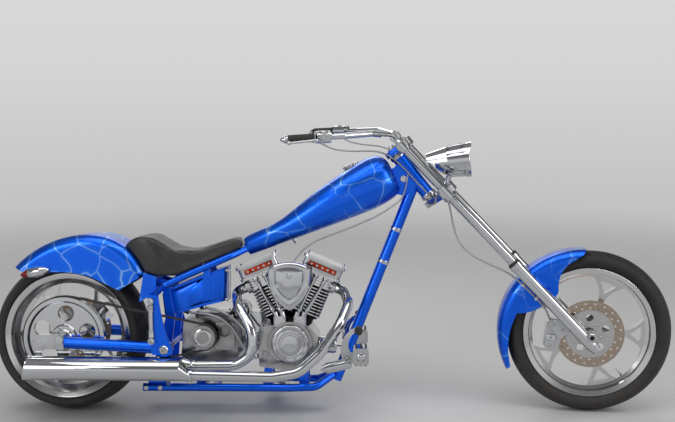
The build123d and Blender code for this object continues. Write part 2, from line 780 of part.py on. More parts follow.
# Fuel tank: sections along a line that rises forward from its tail
# Columns: distance along the line, middle above the line, half height, half width
tank_sections = (
    (0, -20, 38, 40),
    (90, -19, 44, 70),
    (195, -18, 51, 92),
    (375, 0, 81, 112),
    (550, 12, 103, 118),
    (650, 18, 105, 104),
    (700, 15, 88, 80),
    (716, 5, 60, 50),
)
tank_way = (0.914, 0.405)
with BuildPart() as fuel_tank:
    for along, middle, half_height, half_width in tank_sections:
        middle_point = (tank_x + tank_way[0] * along - tank_way[1] * middle, 0,
                        tank_z + tank_way[1] * along + tank_way[0] * middle)
        with BuildSketch(Plane(origin=middle_point, x_dir=(0, 1, 0), z_dir=(tank_way[0], 0, tank_way[1]))):
            RectangleRounded(2 * half_width, 2 * half_height, 0.9 * min(half_width, half_height))
    loft()
    add(tube(backbone_run, backbone_radius + 3, 60), mode=Mode.SUBTRACT)
    with BuildSketch(neck_plane(300)):
        Circle(48)
    extrude(amount=400, mode=Mode.SUBTRACT)
    with BuildSketch(neck_plane(9)):
        Circle(yoke_sweep)
    extrude(amount=90, mode=Mode.SUBTRACT)
    with BuildSketch(side(gusset_half + 3)):
        Polygon((1340, 880), (1480, 880), (1560, 1000), (1450, 1110), (1392, 1066), (1384, 960), align=None)
    extrude(amount=2 * gusset_half + 6, mode=Mode.SUBTRACT)

# Oil tank under the seat, hung from the rails
with BuildPart() as oil_tank:
    with BuildSketch(side(90)):
        Polygon((404, 508), (415, 415), (490, 429), (587, 458), (684, 481), (688, 628), (560, 584), (440, 534),
                align=None)
    extrude(amount=180)
    fillet(oil_tank.edges().filter_by(lambda e: abs(abs(e.center().Y) - 90) < 1 and e.center().X > 684), 34)
    fillet(oil_tank.edges().filter_by(lambda e: abs(abs(e.center().Y) - 90) < 1 and e.center().X < 412), 24)
    for s in (-1, 1):
        with BuildSketch(side(s * 97 + 15)):
            Polygon((585, 580), (620, 590), (616, 640), (594, 632), align=None)
        extrude(amount=30)
    add(seat_rails.part, mode=Mode.SUBTRACT)
    add(rear_uprights.part, mode=Mode.SUBTRACT)


# Engine: two finned cylinders in a V on one crankcase
def cylinder_plane(lean, out):
    """The plane square to a cylinder, at this distance out from the crankshaft."""
    angle = math.radians(lean)
    return Plane(origin=(crank_x + math.sin(angle) * out, 0, crank_z + math.cos(angle) * out),
                 x_dir=(math.cos(angle), 0, -math.sin(angle)), z_dir=(math.sin(angle), 0, math.cos(angle)))


def cylinder(lean):
    """One barrel with its fins and its head."""
    with BuildPart() as piece:
        with BuildSketch(cylinder_plane(lean, 106)):
            Circle(bore_radius)
        extrude(amount=222)
        with BuildSketch(cylinder_plane(lean, 134)):
            Circle(bore_radius + 12)
        extrude(amount=10)
        for fin in range(9):
            with BuildSketch(cylinder_plane(lean, 150 + fin * fin_pitch)):
                RectangleRounded(142, 150, 36)
            extrude(amount=fin_thickness)
        with BuildSketch(cylinder_plane(lean, 278)):
            RectangleRounded(150, 156, 30)
        extrude(amount=50)
        for groove in (288, 300, 312):
            with BuildSketch(cylinder_plane(lean, groove)):
                RectangleRounded(160, 166, 34)
                RectangleRounded(140, 146, 26, mode=Mode.SUBTRACT)
            extrude(amount=5, mode=Mode.SUBTRACT)
        outward = math.copysign(1, lean)
        split(bisect_by=Plane(origin=(crank_x + outward, 0, 0), z_dir=(outward, 0, 0)), keep=Keep.TOP)
    return piece.part


with BuildPart() as cylinders:
    for lean in (-cylinder_angle, cylinder_angle):
        add(cylinder(lean))

with BuildPart() as crankcase:
    with BuildSketch(side(90)):
        Polygon((830, 200), (1000, 178), (1072, 230), (1084, 330), (1040, 380), (963, 360), (886, 380), (830, 370),
                align=None)
    extrude(amount=205)
    fillet(crankcase.edges().filter_by(Axis.Y), 14)
    with BuildSketch(side(-115, 966, 304)):
        Circle(92)
    extrude(amount=16)
    with BuildSketch(side(-115)):
        with Locations((858, 252), (1046, 262)):
            Circle(15)
    extrude(amount=6)
    for lean in (-cylinder_angle, cylinder_angle):
        with BuildSketch(cylinder_plane(lean, 106)):
            Circle(bore_radius)
        extrude(amount=60, mode=Mode.SUBTRACT)
        with BuildSketch(cylinder_plane(lean, 134)):
            Circle(bore_radius + 12)
        extrude(amount=40, mode=Mode.SUBTRACT)
        with BuildSketch(cylinder_plane(lean, 144)):
            RectangleRounded(150, 158, 40)
        extrude(amount=60, mode=Mode.SUBTRACT)
    add(cradle_rails.part, mode=Mode.SUBTRACT)

# Cam cover: round, with two raised rings
with BuildPart() as cam_cover:
    with BuildSketch(side(-131, 966, 304)):
        Circle(80)
    extrude(amount=20)
    fillet(cam_cover.faces().sort_by(Axis.Y)[0].edges(), 8)
    with BuildSketch(side(-151, 966, 304)):
        Circle(60)
        Circle(50, mode=Mode.SUBTRACT)
        Circle(36)
    extrude(amount=5)
    fillet(cam_cover.faces().sort_by(Axis.Y)[0].edges(), 2)

# Rocker boxes: each a base, a box with a window on the right, and a lid
with BuildPart() as rocker_boxes:
    for lean in (-cylinder_angle, cylinder_angle):
        for out, length, width, thickness in ((328, 188, 178, 12), (340, 178, 168, 42), (382, 192, 182, 12)):
            with BuildSketch(cylinder_plane(lean, out)):
                with Locations((0, -11)):
                    RectangleRounded(length, width, 20)
            extrude(amount=thickness)
        centre = cylinder_plane(lean, 361).from_local_coords(Vector(0, -95, 0))
        with BuildSketch(Plane(origin=centre, x_dir=cylinder_plane(lean, 0).x_dir, z_dir=(0, -1, 0))):
            RectangleRounded(132, 26, 6)
        extrude(amount=-8, mode=Mode.SUBTRACT)

# Pushrod tubes on their lifter blocks
# Columns: foot along the machine, cylinder, way in from the cylinder's middle
pushrod_sets = ((919, -cylinder_angle, -24), (1005, cylinder_angle, 24))
with BuildPart() as pushrod_tubes:
    for foot, lean, inward in pushrod_sets:
        with BuildSketch(Plane.XY.offset(374)):
            with Locations((foot, -108)):
                RectangleRounded(56, 36, 8)
        extrude(amount=46)
        for step in (-15, 15):
            top = cylinder_plane(lean, 328).from_local_coords(Vector(inward * 0.4 + step * 1.5, -90, 0))
            add(tube([(foot + step, -108, 416), (top.X, top.Y, top.Z)], 8))
            add(tube([(foot + step, -108, 416), (foot + step + lean * 0.3, -107, 436)], 12))
    add(crankcase.part, mode=Mode.SUBTRACT)
    add(rocker_boxes.part, mode=Mode.SUBTRACT)
    add(cylinders.part, mode=Mode.SUBTRACT)

# Carburettor between the cylinders, on a manifold to both heads
with BuildPart() as carburettor:
    add(tube([(880, -12, 560), (963, -12, 588)], 20))
    add(tube([(963, -12, 588), (1046, -12, 560)], 20))
    with BuildSketch(side(18, 963, 588)):
        Circle(30)
    extrude(amount=168)
    with BuildSketch(side(-60, 963, 588)):
        RectangleRounded(64, 84, 12)
    extrude(amount=50)
    with BuildSketch(Plane.XY.offset(516)):
        with Locations((963, -85)):
            Circle(24)
    extrude(amount=34)
    with BuildSketch(Plane.XY.offset(625)):
        with Locations((963, -85)):
            Circle(20)
    extrude(amount=26)
    add(cylinders.part, mode=Mode.SUBTRACT)
    add(frame_cables.part, mode=Mode.SUBTRACT)

# Air cleaner: a plain shield with a raised middle
with BuildSketch() as shield:
    with BuildLine():
        ThreePointArc((-86, 42), (0, 62), (86, 42))
        ThreePointArc((86, 42), (78, -66), (0, -146))
        ThreePointArc((0, -146), (-78, -66), (-86, 42))
    make_face()

with BuildPart() as air_cleaner:
    with BuildSketch(side(-150, 964, 596)):
        add(shield.sketch)
    extrude(amount=40)
    fillet(air_cleaner.faces().sort_by(Axis.Y)[0].edges(), 14)
    with BuildSketch(side(-190, 964, 592)):
        add(scale(shield.sketch, 0.66, mode=Mode.PRIVATE))
    extrude(amount=10, taper=30)

# Gearbox with its side cover, and the front belt sprocket
with BuildPart() as gearbox:
    with BuildSketch(side(90)):
        Polygon((490, 240), (500, 400), (640, 420), (720, 400), (740, 230), (640, 196), (540, 196), align=None)
    extrude(amount=180)
    fillet(gearbox.edges().filter_by(Axis.Y), 16)
    with BuildSketch(side(-90, 680, 330)):
        RectangleRounded(86, 120, 20)
        with Locations((0, 22)):
            Circle(26, mode=Mode.SUBTRACT)
    extrude(amount=14)
    with BuildSketch(Plane.XY.offset(400)):
        with Locations((620, 0)):
            RectangleRounded(150, 120, 14)
    extrude(amount=26)
    with BuildSketch(side(-90, sprocket_x, sprocket_z)):
        Circle(24)
    extrude(amount=90)
    with BuildSketch(side(belt_y + belt_width / 2 + 1, sprocket_x, sprocket_z)):
        Circle(sprocket_radius - 0.5)
    extrude(amount=belt_width + 2)
    add(cradle_rails.part, mode=Mode.SUBTRACT)

# Primary case along the left
with BuildPart() as primary_case:
    with BuildSketch(side(200)) as primary_outline:
        with Locations((crank_x, 306)):
            Circle(98)
        with Locations((640, 300)):
            Circle(118)
        make_hull()
    extrude(amount=110)
    fillet(primary_case.faces().sort_by(Axis.Y)[-1].edges(), 18)
    with BuildSketch(side(200, 640, 300)):
        Circle(84)
        Circle(76, mode=Mode.SUBTRACT)
    extrude(amount=-4)
    add(cradle_rails.part, mode=Mode.SUBTRACT)

# Drive belt from the gearbox to the rear pulley, on the right
with BuildPart() as drive_belt:
    with BuildSketch(side(belt_y + belt_width / 2)):
        with Locations((0, rear_radius)):
            Circle(pulley_radius + 0.5 + belt_thickness)
        with Locations((sprocket_x, sprocket_z)):
            Circle(sprocket_radius + 0.5 + belt_thickness)
        make_hull()
        with BuildSketch(mode=Mode.SUBTRACT):
            with Locations((0, rear_radius)):
                Circle(pulley_radius + 0.5)
            with Locations((sprocket_x, sprocket_z)):
                Circle(sprocket_radius + 0.5)
            make_hull()
    extrude(amount=belt_width)

# Exhaust pipes from each head
front_run = [(1140, -45, 544), (1196, -66, 522), (1216, -150, 480), (1180, -232, 400), (1100, -262, 285),
             (1010, -284, 206), (900, -296, 190), (553, -300, muffler_z - 22)]
rear_run = [(788, -45, 544), (728, -66, 520), (744, -160, 465), (812, -218, 370), (812, -222, 275),
            (744, -218, 224), (553, -214, inner_muffler_z - 4)]
with BuildPart() as exhaust_pipes:
    for run in (front_run, rear_run):
        add(tube(run, pipe_radius, bends_of(run, 110)))
    for flange, way in ((front_run[0], (0.93, 0, -0.37)), (rear_run[0], (-0.93, 0, -0.37))):
        with BuildSketch(Plane(origin=flange, z_dir=way)):
            Circle(32)
        extrude(amount=18)
    add(cylinders.part, mode=Mode.SUBTRACT)
    add(rocker_boxes.part, mode=Mode.SUBTRACT)

# Mufflers: two straight chrome cans, open and cut slantwise at the back
# Columns: across, height, radius, rear end
muffler_rows = ((-300, muffler_z, 46, -137), (-214, inner_muffler_z, 34, -163))
with BuildPart() as mufflers:
    for (y, z, radius, back), run in zip(muffler_rows, (front_run, rear_run)):
        with BuildSketch(Plane(origin=(back, y, z), x_dir=(0, 1, 0), z_dir=(1, 0, 0))):
            Circle(radius)
        extrude(amount=520 - back)
        with BuildSketch(Plane(origin=(520, y, z), x_dir=(0, 1, 0), z_dir=(1, 0, 0))):
            Circle(radius)
        with BuildSketch(Plane(origin=(553, y, run[-1][2]), x_dir=(0, 1, 0), z_dir=(1, 0, 0))):
            Circle(pipe_radius + 3)
        loft()
        with BuildSketch(Plane(origin=(back - 10, y, z), x_dir=(0, 1, 0), z_dir=(1, 0, 0))):
            Circle(radius - 4)
        extrude(amount=outlet_depth, mode=Mode.SUBTRACT)
        with BuildSketch(side(y + 60)):
            Polygon((back - 20, z - 60), (back, z - 60), (back + 30, z + 60), (back - 20, z + 60), align=None)
        extrude(amount=120, mode=Mode.SUBTRACT)
    with BuildSketch(side(-240)):
        with Locations((430, 224)):
            RectangleRounded(40, 22, 6)
    extrude(amount=26)
    add(tube([(440, -236, 224), (440, -rail_y, rail_z + 4)], 9))
    add(cradle_rails.part, mode=Mode.SUBTRACT)
    add(exhaust_pipes.part, mode=Mode.SUBTRACT)

# Forward foot controls: a peg and its arm on each side, and the brake cylinder on the right
with BuildPart() as foot_controls:
    for s in (-1, 1):
        add(tube([(1209, s * 10, 250), (1209, s * 208, 250)], 14))
        with BuildSketch(side(s * 202 + 6)):
            with BuildLine():
                ThreePointArc((1190, 250), (1200, 225), (1228, 232))
                Line((1228, 232), (1282, 268))
                ThreePointArc((1282, 268), (1290, 292), (1262, 292))
                Line((1262, 292), (1226, 276))
                ThreePointArc((1226, 276), (1218, 330), (1262, 372))
                Line((1262, 372), (1254, 388))
                ThreePointArc((1254, 388), (1196, 340), (1190, 250))
            make_face()
        extrude(amount=12)
        with BuildSketch(side(s * 262 + 56, 1268, 280)):
            RectangleRounded(66, 70, 16)
            RectangleRounded(30, 34, 8, mode=Mode.SUBTRACT)
        extrude(amount=112)
        add(tube([(1268, s * 205, 280), (1268, s * 316, 280)], 16))
        add(tube([(1258, s * 205, 380), (1258, s * 282, 380)], 13))
    add(tube([(1215, -190, 230), (1122, -190, 208)], 23))
    add(tube([(1122, -190, 208), (1108, -190, 205)], 17))
    add(down_tube.part, mode=Mode.SUBTRACT)

# Oil hoses from the tank to the crankcase
oil_routes = (
    [(498, -66, 432), (548, -98, 428), (606, -120, 428), (664, -126, 410), (712, -124, 374), (740, -120, 324),
     (764, -114, 276), (800, -104, 246), (836, -92, 240)],
    [(566, -60, 452), (618, -84, 446), (672, -102, 434), (724, -108, 404), (762, -106, 360), (792, -100, 318),
     (834, -92, 302)],
)
with BuildPart() as oil_hoses:
    for route in oil_routes:
        add(cable(route, 5))
    add(oil_tank.part, mode=Mode.SUBTRACT)
    add(crankcase.part, mode=Mode.SUBTRACT)

# Side stand, folded out
with BuildPart() as side_stand:
    with BuildSketch(stand_plane.offset(-13.5)):
        Circle(17)
        Circle(stand_pin + running_gap, mode=Mode.SUBTRACT)
    extrude(amount=27)
    add(tube([(stand_x + 6, stand_y + 13, stand_z - 5), (stand_x + 65, stand_y + 143, stand_z - 60)], 11))
    with BuildSketch(Plane(origin=(stand_x + 66, stand_y + 146, stand_foot), z_dir=(0, -0.096, 0.995))):
        Circle(26)
    extrude(amount=12)

# Parked pose and export: the steering turns, then the whole machine pitches, leans and shifts
steering_axis = Axis((neck_x, 0, neck_z), (-neck_down[0], 0, -neck_down[1]))
park = (Location((-middle_x, -middle_y, lift)) * Location((0, 0, 0), (1, 0, 0), -lean_angle)
        * Location((0, 0, 0), (0, 1, 0), pitch_angle))
pieces = {
    "frame": {
        "backbone": backbone.part, "down_tube": down_tube.part, "steering_neck": steering_neck.part,
        "cradle_rails": cradle_rails.part, "seat_rails": seat_rails.part, "rear_uprights": rear_uprights.part,
        "arm_plates": arm_plates.part, "rear_struts": rear_struts.part, "swing_arm": swing_arm.part,
        "rear_axle": rear_axle.part, "rear_caliper": rear_caliper.part,
        "rear_fender": rear_fender.part, "rear_lamps": rear_lamps.part, "seat": seat.part,
        "fuel_tank": fuel_tank.part, "oil_tank": oil_tank.part, "crankcase": crankcase.part,
        "cam_cover": cam_cover.part, "cylinders": cylinders.part,
        "rocker_boxes": rocker_boxes.part, "pushrod_tubes": pushrod_tubes.part, "carburettor": carburettor.part,
        "air_cleaner": air_cleaner.part, "gearbox": gearbox.part, "primary_case": primary_case.part,
        "drive_belt": drive_belt.part, "exhaust_pipes": exhaust_pipes.part, "mufflers": mufflers.part,
        "foot_controls": foot_controls.part, "oil_hoses": oil_hoses.part, "frame_cables": frame_cables.part,
    },
    "steering": {
        "upper_yoke": upper_yoke.part, "lower_yoke": lower_yoke.part, "fork_tubes": fork_tubes.part,
        "fork_sliders": fork_sliders.part, "front_axle": front_axle.part, "handlebar": handlebar.part,
        "grips": grips.part, "hand_controls": hand_controls.part, "headlight": headlight.part,
        "front_fender": front_fender.part, "front_caliper": front_caliper.part, "brake_hose": brake_hose.part,
        "bar_cables": bar_cables.part,
    },
    "front_wheel": {"front_tyre": front_tyre.part, "front_rim": front_rim.part, "front_disc": front_disc.part},
    "rear_wheel": {
        "rear_tyre": rear_tyre.part, "rear_rim": rear_rim.part, "rear_pulley": rear_pulley.part,
        "rear_disc": rear_disc.part,
    },
    "side_stand": {"side_stand": side_stand.part},
}
for body, nodes in pieces.items():
    for name, piece in nodes.items():
        posed = piece.rotate(steering_axis, turn_angle) if body in ("steering", "front_wheel") else piece
        posed = posed.moved(park)
        posed.label = name
        export_step(posed, f"parts/{name}.step")
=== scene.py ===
import math

import bmesh
import bpy
from mathutils import Matrix, Vector


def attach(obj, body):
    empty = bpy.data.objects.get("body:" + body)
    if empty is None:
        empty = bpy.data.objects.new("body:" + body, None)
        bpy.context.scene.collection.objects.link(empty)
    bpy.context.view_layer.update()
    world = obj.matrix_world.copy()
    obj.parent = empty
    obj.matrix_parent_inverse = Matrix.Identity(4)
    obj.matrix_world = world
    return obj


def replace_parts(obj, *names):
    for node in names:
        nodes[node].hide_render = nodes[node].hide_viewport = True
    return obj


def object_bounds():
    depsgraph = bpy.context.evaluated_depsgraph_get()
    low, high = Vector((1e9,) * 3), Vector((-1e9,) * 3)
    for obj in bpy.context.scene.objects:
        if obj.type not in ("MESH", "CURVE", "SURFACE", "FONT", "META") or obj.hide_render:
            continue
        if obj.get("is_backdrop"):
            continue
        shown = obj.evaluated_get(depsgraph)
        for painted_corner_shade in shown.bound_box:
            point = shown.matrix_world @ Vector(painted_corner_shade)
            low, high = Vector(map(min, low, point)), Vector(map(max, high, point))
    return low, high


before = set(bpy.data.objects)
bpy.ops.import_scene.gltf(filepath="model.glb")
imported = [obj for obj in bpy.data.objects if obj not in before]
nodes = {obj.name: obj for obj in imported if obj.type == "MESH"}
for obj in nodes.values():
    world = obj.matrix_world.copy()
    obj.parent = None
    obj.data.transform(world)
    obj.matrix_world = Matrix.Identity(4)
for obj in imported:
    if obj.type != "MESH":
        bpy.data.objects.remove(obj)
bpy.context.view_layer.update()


# Tyres: black rubber, moulded with curved grooves across the tread on both sides of a plain middle.
# Each is spun from its section, its rows are led round to slant, and the grooves are sunk in it.
def wired(tree, kind, **values):
    """A shader node. Lower-case words are its settings; the others are inputs, A to C by their order."""
    made = tree.nodes.new("ShaderNode" + kind)
    for word, value in values.items():
        if word.islower():
            setattr(made, word, value)
            continue
        first = 6 if kind == "Mix" else 0
        put = made.inputs[first + "ABC".index(word)] if word in "ABC" else made.inputs[word.replace("_", " ")]
        if isinstance(value, bpy.types.NodeSocket):
            tree.links.new(value, put)
        else:
            put.default_value = value
    return made


def blended(tree, share, one, other):
    """The colour between two, by this share of the other."""
    return wired(tree, "Mix", data_type="RGBA", Factor=share, A=one, B=other).outputs[2]


def between(tree, share, low, high, **limits):
    """The number between two, by this share of the second, which may run between its own limits."""
    return wired(tree, "MapRange", Value=share, To_Min=low, To_Max=high, **limits).outputs["Result"]


def worked_out(tree, operation, *numbers):
    """The result of one sum or test on numbers, which may change over the surface."""
    return wired(tree, "Math", operation=operation, **dict(zip("ABC", numbers))).outputs[0]


def embossed(tree, height, strength, depth, **over):
    """Relief of this height, this deep in metres, on the plain surface or over a broader relief."""
    return wired(tree, "Bump", Strength=strength, Distance=depth, Height=height, **over).outputs[0]


def new_finish(name, **values):
    """A material with one main shader, whose plain numbers and colours are set on it directly."""
    finish = bpy.data.materials.new(name)
    finish.use_nodes = True
    for word, value in values.items():
        finish.node_tree.nodes["Principled BSDF"].inputs[word.replace("_", " ")].default_value = value
    return finish, finish.node_tree


def fed(tree, **sources):
    """Leads what changes over the surface to the named inputs of the material's main shader."""
    for word, source in sources.items():
        tree.links.new(source, tree.nodes["Principled BSDF"].inputs[word.replace("_", " ")])


def new_effect(name, inputs, outputs):
    """An empty node group with these named inputs and outputs."""
    group = bpy.data.node_groups.new(name, "ShaderNodeTree")
    for label, kind, value in inputs:
        socket = group.interface.new_socket(label, in_out="INPUT", socket_type="NodeSocket" + kind)
        socket.default_value = value
    for label in outputs:
        group.interface.new_socket(label, in_out="OUTPUT", socket_type="NodeSocketFloat")
    return group, group.nodes.new("NodeGroupInput").outputs, group.nodes.new("NodeGroupOutput").inputs


def effect(tree, group, **values):
    """One of the shared effects, placed in a material with its own values."""
    made = tree.nodes.new("ShaderNodeGroup")
    made.node_tree = group
    for word, value in values.items():
        made.inputs[word.replace("_", " ")].default_value = value
    return made.outputs


# Rubber, like every other finish, has a grain: fine irregular relief, a soft mask of lighter and
# darker patches, and slow waves such as polishing by hand leaves, all in real size on the piece.
sizes = [("Grain Size", "Float", 400.0), ("Patch Size", "Float", 9.0)]
grain, given, put = new_effect("surface grain", sizes, ["Height", "Patches", "Waves"])
where = wired(grain, "TexCoord").outputs["Object"]
fine = wired(grain, "TexNoise", Vector=where, Scale=given["Grain Size"], Detail=4.0)
broad = wired(grain, "TexNoise", Vector=where, Scale=given["Patch Size"], Detail=5.0, Roughness=0.6)
slow = wired(grain, "TexNoise", Vector=where, Scale=given["Patch Size"], Detail=0.0)
grain.links.new(fine.outputs["Fac"], put["Height"])
grain.links.new(between(grain, broad.outputs["Fac"], 0.0, 1.0, From_Min=0.3, From_Max=0.7), put["Patches"])
grain.links.new(slow.outputs["Fac"], put["Waves"])

# Road dust lies on tyres and on all else that runs near the road. It is thickest at the floor, thins
# out up to its reach, and is broken up by fine spots.
dust, given, put = new_effect("road dust", [("Reach", "Float", 0.5), ("Amount", "Float", 0.5)], ["Dust"])
where = wired(dust, "TexCoord").outputs["Object"]
height = wired(dust, "SeparateXYZ", Vector=where).outputs["Z"]
low = between(dust, height, 1.0, 0.0, From_Min=0.0, From_Max=given["Reach"])
spots = wired(dust, "TexNoise", Vector=where, Scale=28.0, Detail=8.0, Roughness=0.7)
lying = worked_out(dust, "MULTIPLY", low, spots.outputs["Fac"])
dust.links.new(worked_out(dust, "MULTIPLY", lying, given["Amount"]), put["Dust"])

rubber, tree = new_finish("tyre rubber", Specular_IOR_Level=0.35)
relief = effect(tree, grain, Grain_Size=900.0, Patch_Size=14.0)
soil = effect(tree, dust, Reach=0.75, Amount=0.6)
fed(tree, Base_Color=blended(tree, soil["Dust"], (0.013, 0.013, 0.014, 1), (0.10, 0.09, 0.08, 1)),
    Roughness=between(tree, relief["Patches"], 0.5, 0.72),
    Normal=embossed(tree, relief["Height"], 0.25, 0.0006))

# Every piece is drawn upright in millimetres, from the floor under the rear axle, and is then leaned
# on the stand, as the machine is parked. What steers is first turned a little to the right.
lean, nod, steer = math.radians(-5.5), math.radians(0.0254), math.radians(-7)
parked = (Matrix.Translation((-1.140, -0.131, 0.0013)) @ Matrix.Rotation(lean, 4, "X")
          @ Matrix.Rotation(nod, 4, "Y") @ Matrix.Scale(0.001, 4))
head = Vector((1417, 0, 1121))
rake = math.radians(38.8)
head_up = Vector((-math.sin(rake), 0, math.cos(rake)))
steered = parked @ Matrix.Translation(head) @ Matrix.Rotation(steer, 4, head_up) @ Matrix.Translation(-head)
right, left = Vector((0, -1, 0)), Vector((0, 1, 0))


def fitted(bm, name, body, finish, sharp=40.0):
    """The finished piece in its place, its faces outwards and its round parts smooth."""
    bmesh.ops.remove_doubles(bm, verts=bm.verts, dist=0.002)
    bmesh.ops.recalc_face_normals(bm, faces=bm.faces)
    bm.transform(steered if body in ("steering", "front_wheel") else parked)
    mesh = bpy.data.meshes.new(name)
    bm.to_mesh(mesh)
    bm.free()
    mesh.shade_smooth()
    mesh.set_sharp_from_angle(angle=math.radians(sharp))
    mesh.materials.append(finish)
    piece = bpy.data.objects.new(name, mesh)
    bpy.context.scene.collection.objects.link(piece)
    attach(piece, body)
    return piece


def new_tyre(name, node, body, middle, section, tread, lead):
    """A tyre spun from half of its section. Its tread is cut between two distances from the middle,
    down to a third one from the crown, and lead is how far round the grooves run, in degrees."""
    inner, outer, deep = tread
    steps = 240
    every = 10
    bm = bmesh.new()
    row = [bm.verts.new((middle.x, y, middle.z + radius)) for y, radius in section]
    row += [bm.verts.new((middle.x, -y, middle.z + radius)) for y, radius in reversed(section[1:-1])]
    ring = [bm.edges.new(pair) for pair in zip(row, row[1:] + row[:1])]
    bmesh.ops.spin(bm, geom=row + ring, cent=middle, axis=left, angle=math.tau, steps=steps, use_merge=True)
    bmesh.ops.recalc_face_normals(bm, faces=bm.faces)
    for vert in bm.verts:
        led = math.radians(lead) * min(abs(vert.co.y) / outer, 1) ** 1.5
        vert.co = Matrix.Rotation(led, 3, "Y") @ (vert.co - middle) + middle
    sunk = []
    for face in bm.faces:
        centre = face.calc_center_median() - middle
        across = abs(centre.y)
        turn = math.atan2(centre.x, centre.z) - math.radians(lead) * min(across / outer, 1) ** 1.5
        column = round(turn / math.tau * steps - 0.5) + (0 if centre.y > 0 else every // 2)
        if inner < across < outer and centre.xz.length > section[0][1] - deep and column % every == 0:
            sunk.append(face)
    for inwards, down in ((1.2, 0.0), (0.9, -4.5)):
        bmesh.ops.inset_region(bm, faces=sunk, thickness=inwards, depth=down, use_even_offset=True)
    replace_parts(fitted(bm, name, body, rubber, 35), node)


# Half sections, from the crown out to the bead and back inside. Each point is a distance sideways
# and a radius, and the crown is an arc.
rear_hub = Vector((0, 0, 330))
rear_section = [(0, 330)] + [(y, 57.6 + math.sqrt(272.4 ** 2 - y * y)) for y in range(8, 112, 8)] + [
    (114, 305), (119, 301), (121.5, 297), (123, 289), (120.5, 280), (116.5, 276.5), (115.5, 274), (109, 270),
    (107, 262), (102, 254), (86, 254), (95, 264), (100, 282), (96, 297), (88, 304), (60, 312), (0, 319)]
front_hub = Vector((2260, 0, 352))
front_section = [(0, 352)] + [(y, 285.8 + math.sqrt(66.2 ** 2 - y * y)) for y in range(4, 50, 5)] + [
    (51, 328), (55, 321), (58, 312), (57.5, 303), (53.5, 295), (51, 293), (50, 290), (45, 285), (41, 281),
    (39, 274), (36.2, 267), (24, 267), (34, 280), (38, 304), (36, 318), (32, 326), (18, 336), (0, 339)]
new_tyre("rear_tyre_tread", "rear_tyre", "rear_wheel", rear_hub, rear_section, (14, 98, 26), 11)
new_tyre("front_tyre_tread", "front_tyre", "front_wheel", front_hub, front_section, (7, 44, 26), 7)

# Wheels, belt pulley and brake discs: the first two are polished alloy, the discs steel that the pads
# have browned. All are turned, which leaves fine rings round the axle, and polished by hand.
places = [("Middle", "Vector", (0, 0, 0)), ("Axis", "Vector", (0, 1, 0)), ("Pitch", "Float", 900.0)]
rings, given, put = new_effect("turning rings", places, ["Height", "Bands", "Radius"])
where = wired(rings, "TexCoord").outputs["Object"]
out = wired(rings, "VectorMath", operation="SUBTRACT", A=where, B=given["Middle"])
sideways = wired(rings, "VectorMath", operation="PROJECT", A=out.outputs[0], B=given["Axis"])
flat = wired(rings, "VectorMath", operation="SUBTRACT", A=out.outputs[0], B=sideways.outputs[0])
radius = wired(rings, "VectorMath", operation="LENGTH", A=flat.outputs[0]).outputs["Value"]
depth = wired(rings, "VectorMath", operation="LENGTH", A=sideways.outputs[0]).outputs["Value"]
pair = wired(rings, "CombineXYZ", X=radius, Y=depth)
fine = wired(rings, "TexNoise", Vector=pair.outputs[0], Scale=given["Pitch"], Detail=3.0)
broad = wired(rings, "TexNoise", Vector=pair.outputs[0], Scale=70.0, Detail=2.0)
rings.links.new(fine.outputs["Fac"], put["Height"])
rings.links.new(broad.outputs["Fac"], put["Bands"])
rings.links.new(radius, put["Radius"])

# The polish leaves fine scratches too: two crossing sets of stretched streaks. Chrome and castings
# have them as well.
scratches, given, put = new_effect("fine scratches", [("Size", "Float", 60.0)], ["Mask"])
where = wired(scratches, "TexCoord").outputs["Object"]
along = wired(scratches, "Mapping", Vector=where, Rotation=(0.3, 0.5, 0.2), Scale=(1.0, 14.0, 14.0))
other = wired(scratches, "Mapping", Vector=where, Rotation=(1.1, 0.2, 1.4), Scale=(14.0, 1.0, 14.0))
one = wired(scratches, "TexNoise", Vector=along.outputs[0], Scale=given["Size"], Detail=2.0)
two = wired(scratches, "TexNoise", Vector=other.outputs[0], Scale=given["Size"], Detail=2.0)
most = worked_out(scratches, "MAXIMUM", one.outputs["Fac"], two.outputs["Fac"])
scratches.links.new(between(scratches, most, 0.0, 1.0, From_Min=0.62, From_Max=0.8), put["Mask"])


def turned_metal(name, middle, axis, colour, smooth, rough, rim=None):
    """Turned and polished metal, with its rings about this axle. Beyond the rim's radius, where one
    is given, it is the browned steel that the pads run on."""
    finish, tree = new_finish(name, Metallic=1.0)
    lines = effect(tree, rings, Middle=middle, Axis=axis, Pitch=700.0)
    marks = effect(tree, scratches, Size=40.0)
    soil = effect(tree, dust, Reach=0.55, Amount=0.4)
    if rim:
        beyond = worked_out(tree, "GREATER_THAN", lines["Radius"], rim)
        browned = blended(tree, lines["Bands"], (0.40, 0.31, 0.24, 1), (0.52, 0.43, 0.36, 1))
        colour = blended(tree, beyond, colour, browned)
    shine = between(tree, lines["Bands"], smooth, rough, From_Min=0.3, From_Max=0.7)
    fed(tree, Base_Color=blended(tree, soil["Dust"], colour, (0.26, 0.24, 0.22, 1)),
        Roughness=worked_out(tree, "MULTIPLY_ADD", marks["Mask"], 0.15, shine),
        Normal=embossed(tree, lines["Height"], 0.12, 0.0003))
    return finish


def dressed(finish, *names):
    """Gives these solids this finish, in place of the plain one that they come with."""
    for name in names:
        for place in nodes[name].material_slots:
            place.material = finish


